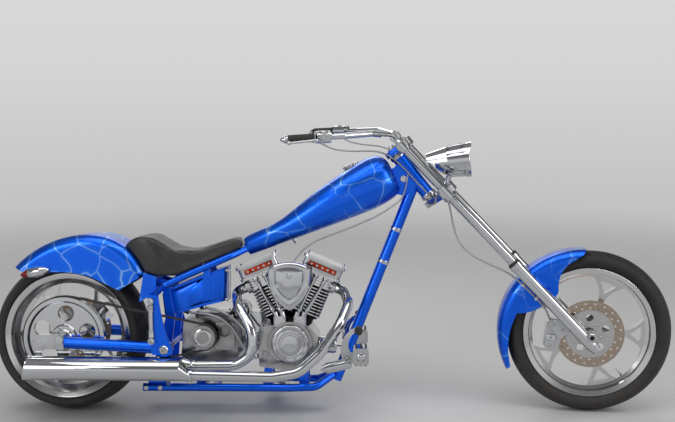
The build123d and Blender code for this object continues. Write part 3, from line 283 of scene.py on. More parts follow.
rear_axle = (parked @ rear_hub, (parked.to_3x3() @ left).normalized())
front_axle = (steered @ front_hub, (steered.to_3x3() @ left).normalized())
alloy, pale_alloy, steel = (0.66, 0.66, 0.67, 1), (0.62, 0.63, 0.65, 1), (0.58, 0.58, 0.59, 1)
dressed(turned_metal("rear wheel alloy", *rear_axle, alloy, 0.08, 0.22), "rear_rim")
dressed(turned_metal("belt pulley alloy", *rear_axle, pale_alloy, 0.06, 0.16), "rear_pulley")
dressed(turned_metal("front wheel alloy", *front_axle, alloy, 0.08, 0.22), "front_rim")
dressed(turned_metal("rear disc steel", *rear_axle, steel, 0.18, 0.32, 0.102), "rear_disc")
dressed(turned_metal("front disc steel", *front_axle, steel, 0.18, 0.32, 0.104), "front_disc")


# Wheel bolts: chromed cap screws hold the pulley and the discs to the hubs, and rivets let each disc
# float. The plate is a mirror with faint polishing marks, dulled by dust low down and with painted
# shade in its corners, and where it was polished by hand beforehand it is a little wavy.
def plated(name, wave, blackness):
    """Chrome, with this height of waves in metres and this share of painted shade in its corners."""
    finish, tree = new_finish(name, Metallic=1.0)
    relief = effect(tree, grain, Grain_Size=140.0, Patch_Size=18.0)
    marks = effect(tree, scratches, Size=50.0)
    soil = effect(tree, dust, Reach=0.35, Amount=0.3)
    # Painted shade: where the ambient occlusion finds a corner, the base colour goes towards near black.
    open_to_air = wired(tree, "AmbientOcclusion", samples=6, Distance=0.03)
    painted_corner_shade = between(tree, open_to_air.outputs["AO"], blackness, 0.0, From_Min=0.2)
    colour = blended(tree, soil["Dust"], (0.60, 0.61, 0.63, 1), (0.32, 0.30, 0.28, 1))
    shine = between(tree, relief["Patches"], 0.02, 0.07)
    waves = embossed(tree, relief["Waves"], 1.0, wave)
    fed(tree, Base_Color=blended(tree, painted_corner_shade, colour, (0.06, 0.06, 0.06, 1)),
        Roughness=worked_out(tree, "MULTIPLY_ADD", marks["Mask"], 0.10, shine),
        Normal=embossed(tree, relief["Height"], 0.04, 0.0004, Normal=waves))
    return finish


chrome = plated("chrome plate", 0.0003, 0.5)


def aimed(point, way, roll=0.0):
    """The place of a part that stands at this point and looks this way."""
    facing = Vector(way).to_track_quat("Z", "Y").to_matrix().to_4x4()
    return Matrix.Translation(point) @ facing @ Matrix.Rotation(math.radians(roll), 4, "Z")


def spun(outline, steps=32):
    """A turned part, from its outline: distance along its axis, radius."""
    bm = bmesh.new()
    row = [bm.verts.new((radius, 0, along)) for along, radius in outline]
    line = [bm.edges.new(pair) for pair in zip(row, row[1:])]
    bmesh.ops.spin(bm, geom=row + line, cent=(0, 0, 0), axis=(0, 0, 1), angle=math.tau, steps=steps,
                   use_merge=True)
    bmesh.ops.remove_doubles(bm, verts=bm.verts, dist=0.001)
    return bm


def cap_screw(radius, tall):
    """A cap screw's head with its hexagon socket."""
    bm = spun([(0, radius), (tall - 0.15 * radius, radius), (tall, 0.85 * radius)], 18)
    at_top = Matrix.Translation((0, 0, tall))
    bmesh.ops.create_circle(bm, segments=6, radius=0.52 * radius, matrix=at_top)
    socket = [edge for edge in bm.edges if edge.is_wire]
    rim = [edge for edge in bm.edges if edge.is_boundary and edge.verts[0].co.z > tall - 0.001]
    bmesh.ops.bridge_loops(bm, edges=rim + socket)
    sunk = bmesh.ops.extrude_edge_only(bm, edges=socket)["geom"]
    low = [part for part in sunk if isinstance(part, bmesh.types.BMVert)]
    bmesh.ops.translate(bm, verts=low, vec=(0, 0, -0.6 * tall))
    bmesh.ops.contextual_create(bm, geom=low)
    return bm


def repeated(shape, places):
    """Copies of one shape, one at each place, in a single mesh."""
    unit = bpy.data.meshes.new("unit")
    shape.to_mesh(unit)
    shape.free()
    bm = bmesh.new()
    for place in places:
        start = len(bm.verts)
        bm.from_mesh(unit)
        bm.verts.ensure_lookup_table()
        bmesh.ops.transform(bm, matrix=place, verts=bm.verts[start:])
    bpy.data.meshes.remove(unit)
    return bm


def chromed(shape, places, name, body="frame", sharp=40.0):
    """Copies of one chromed shape, fitted as one piece, on the frame unless another body is named."""
    return fitted(repeated(shape, places), name, body, chrome, sharp)


def ring_of(hub, radius, side, count, first, way):
    """Places round an axle, at this distance sideways, all looking this way."""
    places = []
    for step in range(count):
        turn = math.radians(first + 360 / count * step)
        places.append(aimed(hub + Vector((radius * math.sin(turn), side, radius * math.cos(turn))), way))
    return places


chromed(cap_screw(6.5, 5), ring_of(rear_hub, 42, -170, 5, 50, right), "pulley_screws", "rear_wheel")
chromed(cap_screw(6.5, 4), ring_of(rear_hub, 46, 97, 5, 36, left), "rear_disc_screws", "rear_wheel")
chromed(cap_screw(6.5, 6), ring_of(front_hub, 47, -72, 5, 36, right), "front_disc_screws", "front_wheel")
rivet = [(0, 6.5), (1.6, 6.5), (2.0, 5.5), (2.0, 3), (0.6, 2.4), (0.6, 0)]
chromed(spun(rivet, 18), ring_of(front_hub, 99, -72, 10, 9, right), "front_disc_rivets", "front_wheel")
chromed(spun(rivet, 18), ring_of(rear_hub, 91, 97, 8, 9, left), "rear_disc_rivets", "rear_wheel")

# Valve stems: turned and chromed, with a screwed cap. Each is pushed through the well of its rim and
# points at the axle.
stem = [(-1, 6), (3, 6), (5, 3.4), (22, 3.4), (22, 4.4), (33, 4.4), (35, 3), (35, 0)]
for name, body, hub, radius, turn in (("rear_valve", "rear_wheel", rear_hub, 222, 2.2),
                                      ("front_valve", "front_wheel", front_hub, 242, 2.5)):
    outward = Vector((math.sin(turn), 0, math.cos(turn)))
    chromed(spun(stem, 20), [aimed(hub + outward * radius, -outward)], name, body)

# Fork: two long steel tubes in lower legs between two yokes, all chromed, with rubber seals at the
# legs' tops, clamp screws in the yokes, and a nut on each end of the hollow axle.
dressed(chrome, "fork_tubes", "fork_sliders", "upper_yoke", "lower_yoke", "front_axle")

dull, tree = new_finish("black rubber")
relief = effect(tree, grain, Grain_Size=1200.0, Patch_Size=22.0)
fed(tree, Base_Color=blended(tree, relief["Patches"], (0.012, 0.012, 0.012, 1), (0.03, 0.029, 0.028, 1)),
    Roughness=between(tree, relief["Patches"], 0.55, 0.75),
    Normal=embossed(tree, relief["Height"], 0.35, 0.0005))

fork_rake = math.radians(43.8)
fork_down = Vector((math.sin(fork_rake), 0, -math.cos(fork_rake)))
fork_ahead = Vector((-fork_down.z, 0, fork_down.x))
fork_foot = front_hub - 24 * fork_ahead


def on_fork(side, above, ahead=0.0):
    """A point on a fork leg, this far above its foot and ahead of its middle."""
    return fork_foot + Vector((0, side, 0)) - fork_down * above + fork_ahead * ahead


fork_sides = (-120, 120)
seal = [(0, 20.7), (0, 28), (4, 28), (7, 25), (11, 24), (13, 20.7), (0, 20.7)]
places = [aimed(on_fork(side, 448), -fork_down) for side in fork_sides]
fitted(repeated(spun(seal, 40), places), "fork_seals", "steering", dull)
screws = [aimed(on_fork(side, high, 29), fork_ahead)
          for side in fork_sides for high in (850, 888, 1128, 1146)]
chromed(cap_screw(5.5, 6), screws, "yoke_screws", "steering")
screws = [aimed(on_fork(side, low, -26), -fork_ahead) for side in fork_sides for low in (-18, 8)]
chromed(cap_screw(4.5, 8), screws, "foot_screws", "steering")


def paired(point, way=left):
    """The places of a pair: this one on the left, after its mirror image on the right."""
    return [aimed((point[0], side * point[1], point[2]), (way[0], side * way[1], way[2])) for side in (-1, 1)]


collar = [(0, 9.4), (0, 20), (4, 20), (6, 17.5), (6, 9.4), (0, 9.4)]
chromed(spun(collar, 6), paired(front_hub + 144 * left), "axle_nuts", "steering", 25)
cap = [(0, 10), (1, 10), (3, 8.5), (3, 0)]
places = [aimed(on_fork(side, 1171), -fork_down) for side in fork_sides]
chromed(spun(cap, 6), places, "fork_caps", "steering", 25)

# Front brake: a chromed caliper bolted behind the right fork leg, with a chamfered cover plate over its
# pistons, two pins through it, a bleed nipple on top and the screws of its bracket.
dressed(chrome, "front_caliper", "rear_caliper")


def softened(bm, edges, width, segments=2):
    """Cuts these edges back by this width."""
    bmesh.ops.bevel(bm, geom=edges, offset=width, segments=segments, affect="EDGES", profile=0.5, material=-1)


def plate(length, width, thick, chamfer):
    """A flat plate with its front edges cut at a slant, standing on its back face."""
    bm = bmesh.new()
    block = Matrix.Translation((0, 0, thick / 2)) @ Matrix.Diagonal((length, width, thick, 1))
    bmesh.ops.create_cube(bm, size=1, matrix=block)
    posts = [edge for edge in bm.edges if abs(edge.verts[0].co.z - edge.verts[1].co.z) > 0.5 * thick]
    softened(bm, posts, 0.28 * min(length, width), 4)
    top = [edge for edge in bm.edges if min(vert.co.z for vert in edge.verts) > thick - 0.01]
    softened(bm, top, chamfer)
    return bm


caliper = Vector((2090, -92, 322))
chromed(plate(44, 62, 5, 3), [aimed(caliper, right, -10)], "caliper_cover", "steering")
pins = [aimed(caliper + Vector((x, -5, z)), right) for x, z in ((3, 19), (-3, -19))]
chromed(cap_screw(6.5, 5), pins, "caliper_pins", "steering")
nipple = [(0, 4), (6, 4), (6, 2.6), (14, 2.6), (14, 3.4), (17, 3.2), (17, 0)]
chromed(spun(nipple, 16), [aimed((2122, -70, 408), (0.17, 0, 1))], "caliper_nipple", "steering")
screws = [aimed((x, -102, z), right) for x, z in ((2104, 396), (2142, 372))]
chromed(cap_screw(6.5, 6), screws, "caliper_bracket_screws", "steering")

# Handlebar: one chromed tube, bent and clamped in two risers. Each end has a ribbed rubber grip with a
# pointed metal tip, a lever with a ball end, two buttons, and a fluid reservoir with a screwed lid.
dressed(chrome, "handlebar", "hand_controls")
head_ahead = Vector((head_up.z, 0, -head_up.x))


def at_head(down, ahead, side=0.0):
    """A point this far down the steering axis, and ahead of it."""
    return head - head_up * down + head_ahead * ahead + Vector((0, side, 0))


screws = [aimed(at_head(-76, ahead, side), head_up) for side in (-45, 45) for ahead in (37, 53)]
chromed(cap_screw(4.2, 6), screws, "riser_screws", "steering")
nut = [(0, 21), (5, 21), (7, 19.5), (9, 15), (15, 13), (19, 8), (20, 0)]
chromed(spun(nut, 48), [aimed(at_head(-24, 0), head_up)], "stem_nut", "steering")

grip_places = paired((1106, 348, 1204), (-106, 48, -6))
ribs = [(2, 17), (2, 20.5), (6, 20.5), (8, 17.2)]
for rib in range(13):
    foot = 10 + rib * 7.6
    ribs += [(foot, 16.4), (foot + 1, 17.8), (foot + 5.5, 17.8), (foot + 6.5, 16.4)]
ribs += [(112, 17.2), (116, 15), (116, 0)]
sleeves = fitted(repeated(spun(ribs, 40), grip_places), "grip_sleeves", "steering", dull)
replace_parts(sleeves, "grips")
point = [(114, 0), (114, 16.6), (120, 16.6), (122, 14), (124, 14), (126, 12.5), (142, 4.5), (144, 0)]
chromed(spun(point, 40), grip_places, "grip_ends", "steering")

ends = bmesh.new()
for side in (-1, 1):
    place = Matrix.Translation((1018, side * 438, 1186))
    bmesh.ops.create_uvsphere(ends, u_segments=20, v_segments=12, radius=8.5, matrix=place)
fitted(ends, "lever_ends", "steering", chrome)
lid = [(-8, 17), (0, 17), (0, 22), (3, 22), (5, 20), (5.6, 12), (5.6, 0)]
chromed(spun(lid, 40), paired((1143, 341, 1227), (0.05, 0, 1)), "reservoir_lids", "steering")
screws = [aimed((1143 + x, side * 341, 1232.4), (0, 0, 1)) for side in (-1, 1) for x in (-14, 14)]
chromed(cap_screw(2.6, 2.5), screws, "lid_screws", "steering")
buttons = [aimed((x, side * y, 1222), (0, -side * 0.3, 1))
           for side in (-1, 1) for x, y in ((1176, 314), (1160, 322))]
button = [(-4, 5.5), (3, 5.5), (5, 4), (5.5, 0)]
fitted(repeated(spun(button, 20), buttons), "switch_buttons", "steering", dull)
chromed(cap_screw(6, 5), paired((1148, 346, 1206), (0, 0, 1)), "lever_pivots", "steering")

# Headlight: a chromed shell on an arm bolted to the lower yoke. In it are a faceted, silvered bowl and
# a bulb, behind a curved and fluted glass that a thick chrome rim holds on.
dressed(chrome, "headlight")
lamp = aimed((1590, 0, 1078), (0.993, 0, 0.119))
bowl, tree = new_finish("silvered bowl", Base_Color=(0.9, 0.9, 0.92, 1), Metallic=1.0)
relief = effect(tree, grain, Grain_Size=300.0, Patch_Size=40.0)
fed(tree, Roughness=between(tree, relief["Patches"], 0.04, 0.12))
facets = [(138, 66), (127, 38.6), (122.5, 12), (124, 0)]
fitted(repeated(spun(facets, 24), [lamp]), "lamp_bowl", "steering", bowl, 5)

glass, tree = new_finish("clear glass", Base_Color=(0.97, 0.98, 1, 1), Metallic=0.0, Roughness=0.02, IOR=1.45,
                         Transmission_Weight=1.0)
where = wired(tree, "TexCoord").outputs["Object"]
flutes = wired(tree, "TexWave", Vector=where, bands_direction="Y", Scale=26.0, Distortion=0.0)
fed(tree, Normal=embossed(tree, flutes.outputs["Fac"], 0.35, 0.002))
front = [(145.5, 0), (144.5, 25), (142.5, 50), (139, 65.6), (143, 65.8), (146, 50), (148.5, 25), (149.5, 0)]
fitted(repeated(spun(front, 64), [lamp]), "lamp_glass", "steering", glass, 60)
bulb = [(122, 11), (128, 11), (129, 8), (138, 7), (142, 4), (142, 0)]
fitted(repeated(spun(bulb, 24), [lamp]), "lamp_bulb", "steering", bowl)
rim = [(139, 65.9), (139, 75.4), (149, 75.4), (152, 73), (153, 69), (151, 65.9), (139, 65.9)]
chromed(spun(rim, 72), [lamp], "lamp_rim", "steering")

# Frame: one tube from the head over the engine, one down in front, rails below and behind, welded and
# painted, with chrome bearing cups, a key switch, clips for the cables, and bolts where it is joined.
# The candy paint is clear lacquer over blue on a bright metallic ground, and fine flakes sparkle in it.
flakes, given, put = new_effect("metal flakes", [("Flake Size", "Float", 2600.0)], ["Sparkle"])
where = wired(flakes, "TexCoord").outputs["Object"]
cells = wired(flakes, "TexVoronoi", Vector=where, Scale=given["Flake Size"])
value = wired(flakes, "SeparateColor", Color=cells.outputs["Color"])
flakes.links.new(between(flakes, value.outputs[0], 0.0, 1.0, From_Min=0.55, From_Max=1.0), put["Sparkle"])

# On the body panels the paint also carries a net of pale airbrushed lines, each in a soft haze. The net
# is stirred so that no line is straight, and fades out in places.
net, given, put = new_effect("net of pale lines", [("Meshes", "Float", 8.0), ("Line", "Float", 0.035)],
                             ["Lines", "Haze"])
where = wired(net, "TexCoord").outputs["Object"]
stir = wired(net, "TexNoise", Vector=where, Scale=5.0, Detail=2.0)
drift = wired(net, "VectorMath", operation="SCALE", A=stir.outputs["Color"], Scale=0.12)
moved = wired(net, "VectorMath", operation="ADD", A=where, B=drift.outputs[0])
cells = wired(net, "TexVoronoi", feature="DISTANCE_TO_EDGE", Vector=moved.outputs[0], Scale=given["Meshes"])
core = between(net, cells.outputs["Distance"], 1.0, 0.0, From_Max=given["Line"])
wide = between(net, cells.outputs["Distance"], 1.0, 0.0, From_Max=0.16)
fade = wired(net, "TexNoise", Vector=where, Scale=3.2, Detail=1.0)
keep = between(net, fade.outputs["Fac"], 0.0, 1.0, From_Min=0.38, From_Max=0.58)
net.links.new(worked_out(net, "MULTIPLY", core, keep), put["Lines"])
net.links.new(worked_out(net, "MULTIPLY", wide, keep), put["Haze"])


def candy(name, drawn_on):
    """Blue candy paint, deeper where it turns away, with or without the net of lines under its lacquer."""
    finish, tree = new_finish(name, Metallic=0.9, Coat_Weight=0.35, Coat_Roughness=0.02)
    turned_away = wired(tree, "LayerWeight", Blend=0.3)
    sparks = effect(tree, flakes, Flake_Size=2600.0)
    relief = effect(tree, grain, Grain_Size=90.0, Patch_Size=4.0)
    colour = blended(tree, turned_away.outputs["Facing"], (0.0, 0.10, 0.88, 1), (0.0, 0.015, 0.22, 1))
    colour = blended(tree, sparks["Sparkle"], colour, (0.0, 0.22, 1.0, 1))
    if drawn_on:
        drawn = effect(tree, net, Meshes=8.5, Line=0.028)
        thin = worked_out(tree, "MULTIPLY", drawn["Haze"], 0.25)
        strong = worked_out(tree, "MULTIPLY", drawn["Lines"], 0.8)
        colour = blended(tree, thin, colour, (0.03, 0.36, 1.0, 1))
        colour = blended(tree, strong, colour, (0.40, 0.66, 1.0, 1))
    bump = embossed(tree, relief["Height"], 0.04, 0.0006)
    fed(tree, Base_Color=colour, Roughness=between(tree, relief["Patches"], 0.26, 0.36), Normal=bump,
        Coat_Normal=bump)
    return finish


blue = candy("candy blue", False)
dressed(blue, "backbone", "down_tube", "steering_neck", "seat_rails", "cradle_rails", "rear_uprights",
        "arm_plates", "swing_arm", "oil_tank")
cup = [(0, 31.2), (0, 35.4), (2, 36.2), (17, 36.2), (19, 35.4), (19, 31.2), (0, 31.2)]
cups = [aimed(at_head(down, 0), head_up) for down in (241, 24.5)]
chromed(spun(cup, 64), cups, "bearing_cups")
switch = [(-2, 15), (3, 15), (5, 13.5), (5, 9), (3.5, 8), (3.5, 0)]
chromed(spun(switch, 36), [aimed((1452, -26, 1010), right)], "key_switch")
tube_foot, tube_way = Vector((1160, 0, 126)), Vector((352, 0, 894)).normalized()
clip_heights = (560, 712)
clip = [(-8, 24.2), (-8, 27), (-6, 28), (6, 28), (8, 27), (8, 24.2), (-8, 24.2)]
places = [aimed(tube_foot + tube_way * along, tube_way) for along in clip_heights]
chromed(spun(clip, 48), places, "cable_clips")
screws = [aimed(tube_foot + right * 27 + tube_way * along, right) for along in clip_heights]
chromed(cap_screw(5, 7), screws, "clip_screws")
chromed(cap_screw(10, 6), paired((345, 132, 109)) + paired((405, 132, 109)), "rail_bolts")
chromed(cap_screw(19, 9), paired((442, 241, 291)), "pivot_bolts")

# Rear struts: chromed rods with a cone, a lock nut and a swelling at each end, bolted to the plates.
# Behind them the axle is clamped in the arms by two screws on each side and set by an adjuster.
dressed(chrome, "rear_struts", "rear_axle")


def hexagon(radius, tall):
    """A hexagon head or nut with softened edges."""
    bm = bmesh.new()
    bmesh.ops.create_cone(bm, cap_ends=True, segments=6, radius1=radius, radius2=radius, depth=tall,
                          matrix=Matrix.Translation((0, 0, tall / 2)))
    softened(bm, bm.edges, 0.1 * radius)
    return bm


half_strut = [(0, 8.4), (14, 8.4), (16, 13.5), (22, 13.5), (34, 11.5), (35, 11.5), (35, 14), (41, 14),
              (41, 10.5), (83.6, 10.5)]
halves = paired((392, 250, 330), (-4, 0, 167)) + paired((388, 250, 497), (4, 0, -167))
chromed(spun(half_strut, 32), halves, "strut_bodies")
chromed(cap_screw(9, 7), paired((388, 259, 497)) + paired((392, 259, 330)), "strut_bolts")
chromed(cap_screw(5.5, 4), paired((-66, 228, 300)) + paired((-22, 228, 300)), "axle_block_screws")
chromed(hexagon(8, 12), paired((-108, 204, 314), (-1, 0, 0)), "chain_adjusters", sharp=25)

# Fuel tank and fenders: sheet steel, drawn long and painted with the net. The tank has a turned cap
# with a knurled edge and a tap below, and screws in the fork hold the front fender.
dressed(candy("candy blue with net", True), "fuel_tank", "rear_fender", "front_fender")
cap = [(-6, 33), (2, 33), (3, 36), (5, 36), (12, 35.5), (14, 33), (15, 24), (14.4, 22), (14.4, 0)]
filler = aimed((1224, 0, 1060), (-0.40, 0, 0.916))
chromed(spun(cap, 72), [filler], "filler_cap")
knurl = bmesh.new()
bmesh.ops.create_cone(knurl, cap_ends=True, segments=8, radius1=1.5, radius2=1.1, depth=7,
                      matrix=Matrix.Translation((0, 0, 8.5)))
ridges = 48
teeth = [filler @ Matrix.Rotation(math.tau * step / ridges, 4, "Z") @ Matrix.Translation((35.6, 0, 0))
         for step in range(ridges)]
chromed(knurl, teeth, "filler_knurl")
tap = [(0, 12), (6, 12), (8, 8), (26, 8), (28, 11), (38, 11), (40, 8), (46, 5), (54, 5), (54, 0)]
chromed(spun(tap, 28), [aimed((968, 24, 772), (0.2, 0, -1))], "fuel_tap")
screws = paired((2064, 74, 516), right) + paired((2084, 74, 532), right)
chromed(cap_screw(5, 5), screws, "front_fender_screws", "steering")

# Rear lamps: two flat-sided chromed shells screwed to the fender's flanks, whose pointed tails are
# red glass, held by a thin chrome band.
dressed(chrome, "rear_lamps")
ruby, tree = new_finish("red glass", Metallic=0.0, Transmission_Weight=0.55, Roughness=0.08, IOR=1.5)
where = wired(tree, "TexCoord").outputs["Object"]
cells = wired(tree, "TexVoronoi", Vector=where, Scale=160.0)
fed(tree, Base_Color=blended(tree, cells.outputs["Distance"], (0.55, 0.008, 0.006, 1), (0.22, 0.0, 0.0, 1)),
    Normal=embossed(tree, cells.outputs["Distance"], 0.5, 0.001))
lamps = [aimed((-122, side * 158, 608), (0.98, 0, 0.2), roll) for side, roll in ((-1, 0), (1, 180))]


def cut_flat(bm, at):
    """The piece without what lies beyond this distance along its X, closed flat there."""
    bmesh.ops.bisect_plane(bm, geom=bm.verts[:] + bm.edges[:] + bm.faces[:], plane_co=(at, 0, 0),
                           plane_no=(1, 0, 0), clear_outer=True)
    bmesh.ops.holes_fill(bm, edges=[edge for edge in bm.edges if edge.is_boundary])
    return bm


tail = [(-66, 0), (-65, 5), (-50, 13), (-34, 19), (-30, 20.2), (-30, 0)]
fitted(repeated(cut_flat(spun(tail, 40), 11.5), lamps), "lamp_tails", "frame", ruby)
band = [(-31, 17.5), (-31, 20.8), (-26, 21.6), (-25, 17.5), (-31, 17.5)]
chromed(cut_flat(spun(band, 48), 11.5), lamps, "lamp_bands")

# Seat: black leather drawn over shaped foam and screwed to the rails. The pad is blown up a little from
# inside, held at its base, so that its crown and edges round off as a stuffed cover does.
leather, tree = new_finish("black leather", Specular_IOR_Level=0.5)
where = wired(tree, "TexCoord").outputs["Object"]
pores = wired(tree, "TexVoronoi", Vector=where, Scale=420.0, feature="SMOOTH_F1")
relief = effect(tree, grain, Grain_Size=260.0, Patch_Size=10.0)
creased = worked_out(tree, "MULTIPLY_ADD", relief["Height"], 0.5, pores.outputs["Distance"])
fed(tree, Base_Color=blended(tree, relief["Patches"], (0.014, 0.014, 0.015, 1), (0.036, 0.035, 0.034, 1)),
    Roughness=between(tree, relief["Patches"], 0.34, 0.48),
    Normal=embossed(tree, creased, 0.3, 0.0008))


def settled(thing):
    """The shape of an object once its modifiers have run, as a mesh of its own."""
    return bpy.data.meshes.new_from_object(thing.evaluated_get(bpy.context.evaluated_depsgraph_get()))


bm = bmesh.new()
bm.from_mesh(nodes["seat"].data)
bmesh.ops.remove_doubles(bm, verts=bm.verts, dist=0.00005)
block = bpy.data.meshes.new("seat_block")
bm.to_mesh(block)
bm.free()
pad = bpy.data.objects.new("seat_pad", block)
bpy.context.scene.collection.objects.link(pad)
even = pad.modifiers.new("even mesh", "REMESH")
even.mode = "VOXEL"
even.voxel_size = 0.006
rounded = pad.modifiers.new("rounded edges", "SMOOTH")
rounded.iterations = 10
pad.data = settled(pad)
pad.modifiers.clear()

held = pad.vertex_groups.new(name="held")
below = [vert.index for vert in pad.data.vertices if vert.normal.z < -0.35]
held.add(below, 1.0, "REPLACE")
start = [vert.co.copy() for vert in pad.data.vertices]
furthest = 0.008
stuffed = pad.modifiers.new("stuffing", "CLOTH")
stuffed.settings.use_pressure = True
stuffed.settings.uniform_pressure_force = 4.0
stuffed.settings.vertex_group_mass = "held"
stuffed.settings.effector_weights.gravity = 0.0
stuffed.settings.quality = 5
stuffed.point_cache.frame_end = 20
for step in range(1, 21):
    bpy.context.scene.frame_set(step)
blown = settled(pad)
pad.modifiers.clear()
pad.data = blown
for vert, before in zip(blown.vertices, start):
    moved = vert.co - before
    vert.co = before + moved * min(1.0, furthest / max(moved.length, 1e-6))
bpy.context.scene.frame_set(1)

bm = bmesh.new()
bm.from_mesh(pad.data)
bmesh.ops.smooth_vert(bm, verts=bm.verts, factor=0.5, use_axis_x=True, use_axis_y=True, use_axis_z=True)
bm.to_mesh(pad.data)
bm.free()
pad.data.shade_smooth()
pad.data.materials.clear()
pad.data.materials.append(leather)
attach(pad, "frame")
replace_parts(pad, "seat")


# Oil tank: sheet steel in the frame's blue, with a side plate on each flank that is rolled round an
# upright line. A chrome sight tube runs down the front edge between two elbows.
def drawn_out(bm, outline, back, steps, side, middle, upright=1.0):
    """A plate bowed out to one side from this flat outline. Each step gives the share of its size that
    is left about the middle, and how far out that lies; upright says how much of it goes for heights."""
    lid = bm.faces.new([bm.verts.new((x, side * back, z)) for x, z in outline])
    about = Matrix.Translation((-middle[0], 0, -middle[1]))
    last = 1
    for share, out in steps:
        grown = bmesh.ops.extrude_face_region(bm, geom=[lid])["geom"]
        lid = next(part for part in grown if isinstance(part, bmesh.types.BMFace))
        bmesh.ops.translate(bm, verts=lid.verts, vec=(0, side * out - lid.verts[0].co.y, 0))
        narrower = share / last
        bmesh.ops.scale(bm, verts=lid.verts, vec=(narrower, 1, narrower ** upright), space=about)
        last = share


flank = ((416, 514), (427, 427), (488, 440), (584, 469), (672, 490), (677, 615), (562, 571), (446, 526))
bow = ((1, 91), (0.96, 93), (0.86, 96), (0.7, 99), (0.5, 101.5), (0.3, 103), (0.1, 104))
bm = bmesh.new()
for side in (-1, 1):
    drawn_out(bm, flank, 87, bow, side, (556, 504), 0.3)
fitted(bm, "oil_tank_sides", "frame", blue, 50)


def bent(points, radius):
    """A round tube through these points, its ends closed."""
    line = bpy.data.curves.new("bent tube", "CURVE")
    line.dimensions = "3D"
    line.bevel_depth = radius
    line.bevel_resolution = 4
    line.use_fill_caps = True
    run = line.splines.new("NURBS")
    run.points.add(len(points) - 1)
    for knot, at in zip(run.points, points):
        knot.co = (*at, 1)
    run.order_u = 3
    run.use_endpoint_u = True
    run.resolution_u = 6
    made = bpy.data.objects.new("bent tube", line)
    bpy.context.scene.collection.objects.link(made)
    mesh = settled(made)
    bpy.data.objects.remove(made)
    bm = bmesh.new()
    bm.from_mesh(mesh)
    bpy.data.meshes.remove(mesh)
    return bm


tube = [(680, 612), (699, 614), (700, 606), (699, 500), (698, 488), (680, 486)]
fitted(bent([(x, -78, z) for x, z in tube], 5), "sight_tube", "frame", chrome)
chromed(hexagon(9, 8), [aimed((685, -78, z), (1, 0, 0)) for z in (612, 486)], "sight_tube_nuts", sharp=25)


# Engine: cast alloy cases and gearbox, with chrome covers screwed on that were polished by hand. The
# gearbox's cast alloy is given a darker colour as painted shade. Two black cylinders stand on them in a V.
def casting(name, colour):
    """Cast and polished alloy of this colour, uneven, and with painted shade darkening its corners."""
    finish, tree = new_finish(name, Metallic=1.0)
    relief = effect(tree, grain, Grain_Size=600.0, Patch_Size=16.0)
    marks = effect(tree, scratches, Size=70.0)
    soil = effect(tree, dust, Reach=0.5, Amount=0.4)
    # Painted shade: the colour goes almost black where the ambient occlusion finds a corner.
    open_to_air = wired(tree, "AmbientOcclusion", samples=6, Distance=0.05)
    painted_corner_shade = between(tree, open_to_air.outputs["AO"], 0.9, 0.0, From_Min=0.15)
    colour = blended(tree, soil["Dust"], colour, (0.20, 0.18, 0.16, 1))
    shine = between(tree, relief["Patches"], 0.10, 0.28)
    waves = embossed(tree, relief["Waves"], 1.0, 0.004)
    fed(tree, Base_Color=blended(tree, painted_corner_shade, colour, (0.03, 0.028, 0.026, 1)),
        Roughness=worked_out(tree, "MULTIPLY_ADD", marks["Mask"], 0.12, shine),
        Normal=embossed(tree, relief["Height"], 0.12, 0.0004, Normal=waves))
    return finish


cover_chrome = plated("chrome covers", 0.0034, 0.8)
dressed(casting("polished castings", (0.54, 0.54, 0.55, 1)), "crankcase")
# The gearbox is the same casting as the crankcase in a darker colour, which is painted shade.
dressed(casting("gearbox castings in painted shade", (0.36, 0.36, 0.37, 1)), "gearbox")
dressed(cover_chrome, "cam_cover", "rocker_boxes")
dressed(chrome, "pushrod_tubes")

crank = Vector((963, 0, 292))
barrels = [Matrix.Translation(crank) @ Matrix.Rotation(math.radians(lean), 4, "Y") for lean in (-22.5, 22.5)]

# Cylinders: alloy barrels, blackened between their fins and then cut bright along the fins' edges.
# The bright faces look away from the cylinder's own axis, out at the rim.
barrel, tree = new_finish("black cylinders", Metallic=0.9)
where = wired(tree, "TexCoord")
relief = effect(tree, grain, Grain_Size=700.0, Patch_Size=30.0)
out = wired(tree, "VectorMath", operation="SUBTRACT", A=where.outputs["Object"], B=parked @ crank)
shares = []
for place, test in zip(barrels, ("LESS_THAN", "GREATER_THAN")):
    way = ((parked @ place).to_3x3() @ Vector((0, 0, 1))).normalized()
    turned = wired(tree, "VectorMath", operation="DOT_PRODUCT", A=where.outputs["Normal"], B=way)
    edge = worked_out(tree, "LESS_THAN", worked_out(tree, "ABSOLUTE", turned.outputs["Value"]), 0.5)
    along = wired(tree, "VectorMath", operation="PROJECT", A=out.outputs[0], B=way)
    away = wired(tree, "VectorMath", operation="SUBTRACT", A=out.outputs[0], B=along.outputs[0])
    far = wired(tree, "VectorMath", operation="LENGTH", A=away.outputs[0])
    rim = worked_out(tree, "GREATER_THAN", far.outputs["Value"], 0.066)
    ahead = wired(tree, "SeparateXYZ", Vector=out.outputs[0])
    mine = worked_out(tree, test, ahead.outputs["X"], 0.0)
    shares.append(worked_out(tree, "MULTIPLY", worked_out(tree, "MULTIPLY", edge, rim), mine))
bright = worked_out(tree, "ADD", *shares)
fed(tree, Base_Color=blended(tree, bright, (0.016, 0.016, 0.018, 1), (0.74, 0.74, 0.75, 1)),
    Roughness=between(tree, bright, 0.4, 0.16),
    Normal=embossed(tree, relief["Height"], 0.2, 0.0004))
dressed(barrel, "cylinders")

